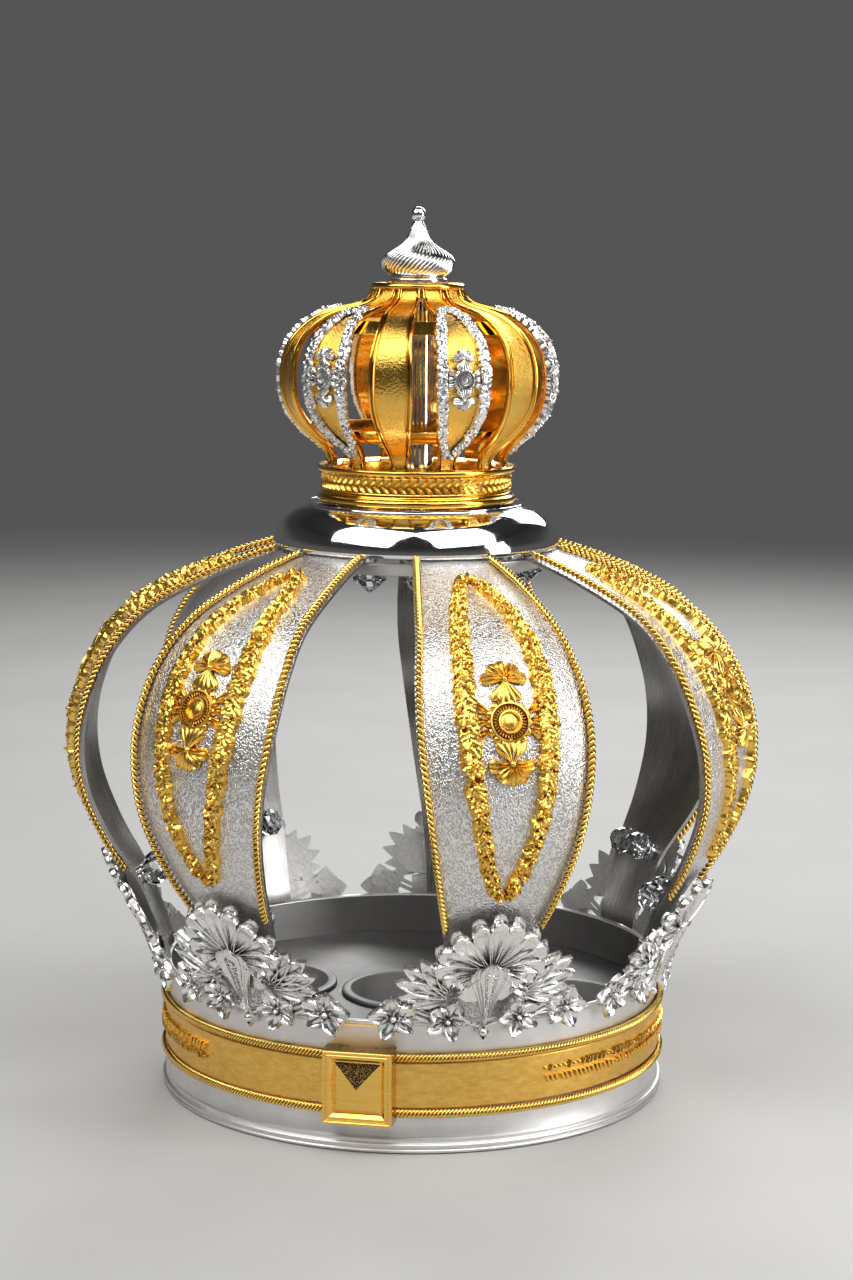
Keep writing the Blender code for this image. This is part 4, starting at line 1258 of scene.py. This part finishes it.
def castSilverFinish(name="cast_silver", frosted=1.0):
    # bright cast silver with a soft frosted skin, and painted shade darkening its hollows
    finish = newFinish(name, (0.92, 0.92, 0.91), 0.24)
    givePaintedHollowShade(finish, (0.92, 0.91, 0.90), (0.26, 0.26 * 0.97, 0.26 * 0.94), 1.3, 0.22, 0.80)
    spot = ownSpot(finish, 1.0)
    frost = noiseOf(finish, spot, 1100.0, 3.0)
    both = worked(finish, "MULTIPLY", frost, noiseOf(finish, spot, 90.0, 3.0))
    giveGloss(finish, both, ((0.12, 0.18 * frosted), (0.42, 0.36 * frosted)))
    giveGrain(finish, frost, 0.22, 0.1)
    return finish["material"]


castSilver = castSilverFinish()


def dullSilverFinish():
    # unpolished back of the castings
    finish = newFinish("dull_silver", (0.68, 0.67, 0.66), 0.52)
    skin = noiseOf(finish, ownSpot(finish, 1.0), 700.0, 4.0)
    giveTone(finish, skin, [(0.3, (0.60, 0.59, 0.58)), (0.7, (0.76, 0.75, 0.74))])
    giveGrain(finish, skin, 0.4, 0.15)
    return finish["material"]


def backFaces(points, faces):
    # faces that look towards the axis
    corners = np.array([face[:3] for face in faces])
    a, b, c = (points[corners[:, k]] for k in range(3))
    normal = np.cross(b - a, c - a)
    away = a[:, :2] / np.linalg.norm(a[:, :2], axis=1)[:, None]
    slope = (normal[:, :2] * away).sum(axis=1) / (np.linalg.norm(normal, axis=1) + 1e-9)
    return (slope < -0.5).astype(int).tolist()


def makeLeaves():
    casting = leafCasting()
    dull = dullSilverFinish()
    faces = casting["faces"]
    for name in sorted(name for name in nodes if name.startswith("leaf_")):
        points = bendOnLeaf(casting, turnOf(name))
        makePiece("palmette_" + name[-1], points, faces, [castSilver, dull],
                  [name], 38.0, backFaces(points, faces))
    print("leaf faces each:", len(faces))


makeLeaves()
print("leaves made")


# collar and dome

dome = {"segments": 168, "collarSegments": 160}


def makeDome():
    low, high = boxOf("dome")
    rim = high[0]
    profile = rounded([
        (42.0, high[2], 0.5), (42.3, high[2] - 1.2, 0.4), (46.6, 228.6, 3.5),
        (53.2, 223.9, 4.0), (rim - 0.3, 217.6, 3.0), (rim, low[2] + 1.4, 0.6),
        (rim - 0.6, low[2], 0.5), (54.0, low[2] + 0.2, 0.3), (51.8, 222.3, 3.0), (46.0, 227.4, 2.0),
    ])
    profile = [(0.0, high[2])] + profile + [(0.0, 229.3)]
    turnedPiece("dome_shell", profile, dome["segments"], mirrorSilver, ["dome"])
    low, high = boxOf("collar")
    profile = rounded([
        (high[0], high[2], 0.4), (high[0] - 0.8, low[2], 0.4),
        (high[0] - 4.0, low[2], 0.4), (high[0] - 4.8, high[2], 0.4),
    ])
    turnedPiece("dome_collar", profile, dome["collarSegments"], wall, ["collar"], 50.0)


makeDome()
print("dome made")


# clasp on the band

clasp = {
    "rim": 1.1,                  # width of the thin raised rim
    "groove": 0.45,
    "frame": 1.35,
    "slope": 1.3,                # width of the bevel down to the recess
    "recess": 1.5,
    "apexRise": 3.1,
    "backRadius": 96.6,
}


def claspGoldFinish():
    finish = newFinish("clasp_gold", (0.96, 0.62, 0.15), 0.2)
    lines = noiseOf(finish, ownSpot(finish, 60.0, 60.0, 2400.0), 1.0, 4.0)
    giveGloss(finish, lines, ((0.3, 0.14), (0.7, 0.28)))
    giveTone(finish, lines, [(0.3, (0.88, 0.52, 0.10)), (0.7, (0.98, 0.64, 0.17))])
    giveGrain(finish, lines, 0.2, 0.05)
    return finish["material"]


def granularGoldFinish():
    # struck with a pointed punch, and toned dark between the points
    finish = newFinish("granular_gold", (0.5, 0.3, 0.08), 0.3)
    away = addNode(finish["tree"], "ShaderNodeTexVoronoi",
                   {"Vector": ownSpot(finish, 1.0), "Scale": 2300.0}).outputs["Distance"]
    giveTone(finish, away, [(0.10, (0.80, 0.48, 0.12)), (0.40, (0.03, 0.02, 0.01))])
    giveGrain(finish, away, 0.9, 0.3, invert=True)
    return finish["material"]


# darker, duller gold for the clasp's sides and top: a painted dark reflection
claspSidesPaintedDark = polishedGold("clasp_side_painted_dark_gold", (0.66, 0.38, 0.09), (0.25, 0.11, 0.02), 0.20, 0.70)


def makeClasp():
    low, high = boxOf("band_buckle")
    halfWide = (high[0] - low[0]) / 2
    halfTall = (high[2] - low[2]) / 2
    middle = (high[2] + low[2]) / 2
    front = low[1]
    rim = clasp["rim"]
    groove = rim + clasp["groove"]
    frameEnd = groove + clasp["frame"]
    floor = frameEnd + clasp["slope"]
    steps = [                    # inset from the edge, depth behind the front
        (0.0, -front - clasp["backRadius"]), (0.0, 0.5), (0.12, 0.15), (0.4, 0.0), (rim - 0.3, 0.0),
        (rim - 0.05, 0.15), (rim, 0.4), (groove - 0.1, 0.4), (groove, 0.25), (groove + 0.15, 0.15),
        (frameEnd - 0.15, 0.15), (frameEnd, 0.3), (floor - 0.25, clasp["recess"]),
        (floor, clasp["recess"] + 0.1), (floor + 0.2, clasp["recess"]),
    ]
    points = []
    for inset, depth in steps:
        for x, z in ((-1, -1), (1, -1), (1, 1), (-1, 1)):
            points.append((x * (halfWide - inset), front + depth, middle + z * (halfTall - inset)))
    faces = gridFaces(len(steps), 4, closedColumns=True)
    apex = len(points)
    points.append((0.0, front + clasp["recess"] - clasp["apexRise"] + 0.6, middle))
    last = apex - 4
    # the four side faces, top included, take the darker gold of the painted dark reflection
    finishes = [2] * 4 + [0] * (len(faces) - 4)
    for k in range(4):
        faces.append((last + k, last + (k + 1) % 4, apex))
        finishes.append(1 if k == 2 else 0)
    faces.append((3, 2, 1, 0))
    finishes.append(0)
    points = np.array(points)
    finishesUsed = [claspGoldFinish(), granularGoldFinish(), claspSidesPaintedDark]
    makePiece("clasp", points, faces, finishesUsed, ["band_buckle"], 12.0, finishes)


makeClasp()


# raised strokes round the band, in place of an inscription

strokes = {
    "plainHalf": 41.0,           # degrees left plain on each side of the clasp
    "height": 7.2,
    "middle": 26.4,
    "raise": 1.6,
    "pitch": 2.3,
    "thick": 1.55,
    "dots": 0.16,                # share of the marks that are round
    "seed": 7,
}


def makeStrokes():
    # two rows of short slanted dashes with a dot here and there
    rng = random.Random(strokes["seed"])
    radius = -boxOf("gold_band")[0][1]
    casting = newCasting()
    around = 2 * pi * radius
    first = radians(strokes["plainHalf"]) * radius
    tall = strokes["height"] / 2
    for row, lean in ((0.55, 0.42), (-0.55, -0.42)):
        spot = first + (0.9 if row < 0 else 0.0)
        while spot < around - first:
            level = strokes["middle"] + row * tall
            up = strokes["raise"] * rng.uniform(0.8, 1.1)
            if rng.random() < strokes["dots"]:
                lay(casting, bead(0.5 * strokes["thick"], up, 8, 2), at=(spot, level), lift=-0.1)
            else:
                half = 0.5 * tall * rng.uniform(0.55, 0.85)
                path = np.array([(spot - half * sin(lean), level - half), (spot, level),
                                 (spot + half * sin(lean), level + half)])
                widths = np.array([0.65, 1.0, 0.65]) * strokes["thick"]
                lay(casting, ridge(path, widths, up, 6, 0.6), lift=-0.1)
            spot += strokes["pitch"] * rng.uniform(0.85, 1.15)
    points = castPoints(casting)
    bent = polar(radius + points[:, 2], points[:, 1], points[:, 0] / radius)
    makePiece("band_strokes", bent, casting["faces"], [castGold], (), 30.0)


makeStrokes()
print("clasp and strokes made")


# small crown

smallCrown = {
    "path": [                    # outer face of a rib: radius, height, half width
        (35.0, 245.5, 3.6), (34.8, 247.8, 3.3), (36.0, 250.6, 3.9), (39.2, 253.9, 5.0),
        (43.8, 257.9, 6.1), (48.4, 262.9, 7.2), (51.8, 269.2, 8.1), (53.2, 276.6, 8.4),
        (52.9, 284.6, 8.3), (50.2, 292.4, 7.6), (45.0, 298.6, 6.9), (38.6, 302.8, 6.3),
        (32.0, 305.0, 5.7), (26.0, 306.4, 5.2), (21.4, 307.9, 4.7), (18.6, 310.2, 4.3),
        (17.5, 313.2, 4.2),
    ],
    "ribCount": 12,
    "thickness": 1.4,
    "section": (                 # distance in from the rib's edge, lift off its face
        (0.0, -0.55), (0.06, 0.25), (0.30, 0.62), (0.62, 0.70), (0.95, 0.55), (1.15, 0.05),
        (1.25, -0.25), (1.48, -0.25), (1.58, 0.10), (1.82, 0.38), (2.12, 0.38), (2.36, 0.05),
        (2.45, -0.42),
    ),
    "along": 58,
    "innerCount": 5,
    "flange": 18.4,
    "plaitStroke": (3.5, 1.5, 1.05),
    "plaitCount": 68,
    "plaitRows": ((240.5, -0.85, 0.0), (237.6, 0.85, 0.5)),      # height, lean, slip
    "plaitEdges": (235.9, 242.2),
    "footSegments": 144,
    "discSegments": 128,
    "rodSegments": 96,
}
smallRib = ribSurface(smallCrown["path"], 0.0)
smallScroll = {
    "start": 0.07, "end": 0.82, "widest": 10.9, "blunt": 2.9, "bow": 0.9, "border": (3.2, 4.7),
    "cell": 0.39, "unit": 2.4, "tall": 1.25, "seed": 23, "heart": 0.455,
}


def recessGoldFinish():
    # sunk middle of the small ribs: hammered fine, between polished edges
    finish = newFinish("recess_gold", (0.96, 0.57, 0.10), 0.17)
    pits = addNode(finish["tree"], "ShaderNodeTexVoronoi",
                   {"Vector": ownSpot(finish, 1.0), "Scale": 1150.0}, feature="SMOOTH_F1")
    lines = noiseOf(finish, ringSpot(finish, 1500.0 / 6.28, 160.0, 160.0), 5.0, 3.0)
    both = worked(finish, "MULTIPLY_ADD", lines, 1.1, pits.outputs["Distance"])
    giveGrain(finish, both, 0.8, 0.12)
    giveTone(finish, both, [(0.35, (0.84, 0.44, 0.06)), (0.95, (0.98, 0.60, 0.12))])
    return finish["material"]


warmGold = polishedGold("warm_gold", (0.96, 0.55, 0.09), (0.36, 0.13, 0.01), 0.10, 0.70)
recessGold = recessGoldFinish()


def smallRibMesh(turn):
    shares = np.linspace(0.0, 1.0, smallCrown["along"])
    half = ribRow(smallRib, shares)[2]
    section = np.array(smallCrown["section"])
    slim = np.clip(half / 6.5, 0.55, 1.0)
    rightEdge = [half - inset * slim for inset in section[:, 0]]
    columns = [-column for column in rightEdge]
    columns += [-rightEdge[-1] * (1.0 - 2.0 * share) for share in (0.33, 0.67)] + rightEdge[::-1]
    lifts = [*section[:, 1], section[-1, 1], section[-1, 1], *section[::-1, 1]]
    across = np.stack(columns, axis=1)
    lift = np.broadcast_to(lifts, across.shape)
    spread = np.broadcast_to(shares[:, None], across.shape)
    outer = ribPoints(smallRib, spread, across, lift, turn)
    innerAcross = half[:, None] * np.linspace(-1.0, 1.0, smallCrown["innerCount"])[None, :]
    inside = ribPoints(smallRib, shares[:, None], innerAcross, -smallCrown["thickness"], turn)
    points, faces, split = shellBetween(outer, inside)
    edge = len(section)
    wide = across.shape[1] - 1
    finishes = [1 if (k % wide) >= edge - 1 and (k % wide) <= wide - edge and k < split else 0
                for k in range(len(faces))]
    return points, outwards(points, faces), finishes


def makeSmallFrame():
    points, faces, finishes = [], [], []
    for turn in turnsOf(smallCrown["ribCount"]):
        ribPointsHere, ribFaces, ribFinishes = smallRibMesh(turn)
        faces += shifted(ribFaces, len(points))
        points += ribPointsHere.tolist()
        finishes += ribFinishes
    top = boxOf("small_crown_frame")[1][2]
    flange = smallCrown["flange"]
    profile = rounded([
        (flange - 4.6, top - 0.1, 0.3), (flange - 3.9, top - 0.3, 0.3), (flange - 1.2, top, 0.9),
        (flange, top - 1.0, 0.9), (flange, top - 2.2, 0.8), (flange - 0.9, top - 3.1, 0.7),
        (flange - 2.2, top - 3.4, 0.4),
    ])
    discPoints, discFaces = lathed([(0.0, top - 0.1), *profile, (0.0, top - 3.4)],
                                   smallCrown["discSegments"])
    faces += shifted(discFaces, len(points))
    finishes += [0] * len(discFaces)
    points += discPoints.tolist()
    makePiece("small_crown_ribs", np.array(points), faces, [warmGold, recessGold],
              ["small_crown_frame"], 32.0, finishes)


def makeSmallFoot():
    low, high = boxOf("small_crown_base")
    radius, top = high[0], high[2]
    profile = rounded([
        (radius - 3.4, top, 0.3), (radius - 2.6, top - 0.5, 0.2), (radius - 0.6, top, 0.5),
        (radius - 0.1, top - 0.6, 0.5), (radius - 0.1, top - 1.9, 0.5),
        (radius - 1.4, top - 2.6, 0.6), (radius - 2.4, top - 3.1, 0.4),
        (radius - 2.5, 235.6, 0.4), (radius - 1.5, 235.0, 0.4),
        (radius - 1.4, 234.2, 0.4), (radius - 0.4, 233.7, 0.6), (radius, 232.9, 0.5),
        (radius - 0.1, low[2], 0.4), (31.0, low[2], 0.3), (31.0, top - 1.2, 0.5),
    ])
    turnedPiece("small_crown_foot", profile, smallCrown["footSegments"], warmGold,
                ["small_crown_base"])

    # plait of slanted strokes between two fine edges
    casting = newCasting()
    long, wide, tall = smallCrown["plaitStroke"]
    around = 2 * pi * (radius - 2.5)
    count = smallCrown["plaitCount"]
    stroke = petal(long, wide, tall, "blade", "ridged", rows=6, columns=4)
    for k in range(count):
        spot = around * k / count
        for level, lean, slip in smallCrown["plaitRows"]:
            x = spot + slip * around / count - sin(-lean) * long / 2
            lay(casting, stroke, at=(x, level - cos(lean) * long / 2), turn=lean)
    for level in smallCrown["plaitEdges"]:
        path = np.stack([np.linspace(0.0, around, 193), np.full(193, level)], axis=1)
        lay(casting, ridge(path, 0.7, 0.55, 5))
    points = castPoints(casting)
    bent = polar(radius - 2.55 + points[:, 2], points[:, 1], points[:, 0] / (radius - 2.5))
    makePiece("small_crown_plait", bent, casting["faces"], [castGold], (), 32.0)


def makeHoopsAndRod():
    for level in ("lower", "upper"):
        low, high = boxOf("small_hoop_" + level)
        heights = np.array([low[2], high[2]])
        points = np.array([v.co[:] for v in nodes["small_hoop_" + level].data.vertices]) / mm
        radii = [np.hypot(*points[np.abs(points[:, 2] - z) < 0.05][:, :2].T).max() for z in heights]
        profile = rounded([(radii[1], high[2], 0.4), (radii[0], low[2], 0.4),
                           (radii[0] - 1.5, low[2], 0.4), (radii[1] - 1.5, high[2], 0.4)])
        turnedPiece("small_hoop_ring_" + level, profile, smallCrown["discSegments"], warmGold,
                    ["small_hoop_" + level])

    low, high = boxOf("centre_rod")
    radius, foot, top = high[0], low[2], high[2]
    profile = [(0.0, top)] + rounded([
        (radius - 0.4, top, 0.3), (radius + 0.6, top - 1.2, 0.5), (radius + 0.6, top - 2.6, 0.5),
        (radius - 0.1, top - 3.4, 0.4), (radius - 0.1, foot + 5.0, 0.4),
        (radius + 0.8, foot + 3.8, 0.5), (radius + 0.8, foot + 1.4, 0.5), (radius + 1.6, foot, 0.4),
    ]) + [(0.0, foot)]
    turnedPiece("small_crown_rod", profile, smallCrown["rodSegments"], mirrorSilver,
                ["centre_rod"])


def makeSmallScrolls():
    casting, middle = panelCasting(smallRib, smallScroll, smallScroll["heart"], 0.5, 7.2)
    # here the rib's share runs upwards, so the casting is turned end for end
    points = castPoints(casting) * [-1.0, -1.0, 1.0]
    flipped = {"points": [points], "faces": casting["faces"], "count": len(points)}
    for name in sorted(name for name in nodes if name.startswith("small_scroll_")):
        bent = bendOnRib(flipped, smallRib, middle, turnOf(name), 0.25)
        makePiece("small_scroll_work_" + name[-1], bent, casting["faces"], [castSilver],
                  [name], 38.0)
    print("small scroll faces each:", len(casting["faces"]))


makeSmallFrame()
makeSmallFoot()
makeHoopsAndRod()
makeSmallScrolls()
print("small crown made")


# finial

finial = {
    "flutes": 44,
    "swirl": 84.0,               # degrees a flute turns from the onion's foot to its neck
    "depth": 0.42,
    "profile": [                 # radius, height, share of the full flute depth
        (11.3, 315.6, 0.0), (11.3, 316.7, 0.0), (10.3, 317.4, 0.0), (10.4, 318.0, 0.2),
        (11.9, 319.0, 0.7), (13.3, 320.6, 1.0), (13.8, 322.6, 1.0), (13.5, 324.4, 1.0),
        (12.0, 326.2, 1.0), (9.4, 327.9, 1.0), (6.8, 329.6, 0.9), (4.9, 331.6, 0.75),
        (3.9, 333.8, 0.6), (3.0, 336.2, 0.35), (2.2, 338.0, 0.1), (1.9, 338.7, 0.0),
    ],
    "ball": (2.95, 341.35),
    "acrossFlute": 5,
}


def makeFinial():
    tip = boxOf("finial")[1][2]
    path, _ = curvePath(finial["profile"], 80)
    count = finial["flutes"] * finial["acrossFlute"]
    columns = np.arange(count)
    share = (columns % finial["acrossFlute"]) / finial["acrossFlute"] * 2 - 1
    crown = 1.0 - 2.0 * np.abs(share) ** 1.8
    bottom, top = finial["profile"][3][1], finial["profile"][-1][1]
    rise = np.clip((path[:, 1] - bottom) / (top - bottom), 0.0, 1.0)
    turns = columns[None, :] * 2 * pi / count + radians(finial["swirl"]) * rise[:, None] ** 0.8
    depth = finial["depth"] * path[:, 2] * np.minimum(1.0, path[:, 0] / 9.0)
    radius = path[:, 0][:, None] + depth[:, None] * crown[None, :]
    points = polar(radius, path[:, 1][:, None], turns).reshape(-1, 3)
    faces = gridFaces(len(path), count, closedColumns=True) + capFaces(len(path), count)
    ballRadius, ballHeight = finial["ball"]
    ball = [(0.0, tip)]
    ball += [(ballRadius * sin(a), ballHeight + ballRadius * cos(a))
             for a in np.linspace(0.25, 2.55, 18)]
    ball += [(1.35, 338.3), (0.0, 338.3)]
    ballPoints, ballFaces = lathed(ball, 40)
    faces = outwards(points, faces) + shifted(ballFaces, len(points))
    makePiece("finial_onion", np.concatenate([points, ballPoints]), faces, [onionSilver],
              ["finial"], 60.0)


onionSilver = castSilverFinish("onion_silver", 0.6)
makeFinial()
print("finial made")


# crystals inside, at the head and the foot of every rib

crystals = {
    "footRadius": 5.9,
    "footHeight": 80.5,
    "footApart": 6.3,            # to each side of the rib's middle
    "headRadius": 6.6,
    "headHeight": 207.2,
    "headFrom": 43.4,
    "headTurn": 12.86,           # degrees to each side of the rib
    "cap": [(2.6, 1.45), (3.2, 0.55), (2.8, 0.05)],
    "cup": [(3.4, 0.0, 0.2), (2.4, 0.9, 0.4), (3.6, 2.4, 0.3), (3.0, 2.6, 0.2)],
}


def crystalFinish():
    finish = newFinish("clear_crystal", (0.97, 0.98, 1.0), 0.0, 0.0)
    give(finish, "Transmission Weight", 1.0)
    give(finish, "IOR", 1.56)
    return finish["material"]


def facetedBall(radius, sides=10):
    levels = ((0.0, 1.0), (0.50, 0.86), (0.86, 0.46), (1.0, 0.0), (0.86, -0.46), (0.50, -0.86),
              (0.0, -1.0))
    points, faces = lathed([(radius * r, radius * z) for r, z in levels], sides)
    split = []                   # facets are triangles
    for face in faces:
        split += [face] if len(face) == 3 else [face[:3], (face[0], *face[2:])]
    return points, split


def hangingStone(radius, sides=12):
    return lathed([(0.0, 0.0), (radius * 0.62, 0.0), (radius, -radius * 0.32),
                   (radius * 0.96, -radius * 0.42), (radius * 0.5, -radius * 0.86),
                   (0.0, -radius * 1.2)], sides)


def turnedTowards(points, direction):
    turn = Vector((0.0, 0.0, 1.0)).rotation_difference(Vector(direction)).to_matrix()
    return points @ np.array(turn).T


def makeCrystals():
    glass = crystalFinish()
    size = crystals["footRadius"]
    head = hangingStone(crystals["headRadius"])
    foot = facetedBall(size)
    cap = lathed([(0.0, 1.45), *crystals["cap"], (0.0, 0.05)], 24)
    cup = lathed([(0.0, 0.0), *rounded(crystals["cup"]), (0.0, 2.0)], 28)
    footShare = shareAt(crystals["footHeight"])
    for number, turn in ribTurns.items():
        stones, mounts = newCasting(), newCasting()
        for sign in (-1.0, 1.0):
            across = sign * crystals["footApart"]
            middle = ribPoints(rib, footShare, across, -(ribs["thickness"] + size + 0.8), turn)
            stem = ribPoints(rib, footShare, across, 0.2 - ribs["thickness"], turn)
            away = (middle - stem) / np.linalg.norm(middle - stem)
            headTurn = turn + sign * radians(crystals["headTurn"])
            spot = polar(crystals["headFrom"], crystals["headHeight"], headTurn)
            lay(stones, (turnedTowards(foot[0], away) + middle, foot[1]))
            lay(stones, (head[0] + spot, head[1]))
            lay(mounts, (turnedTowards(cup[0], away) + stem, cup[1]))
            lay(mounts, (cap[0] + spot, cap[1]))
        makePiece("crystals_" + number, castPoints(stones), stones["faces"], [glass],
                  (), 1.0)
        makePiece("crystal_mounts_" + number, castPoints(mounts), mounts["faces"], [mirrorSilver],
                  (), 40.0)


makeCrystals()
print("crystals made")
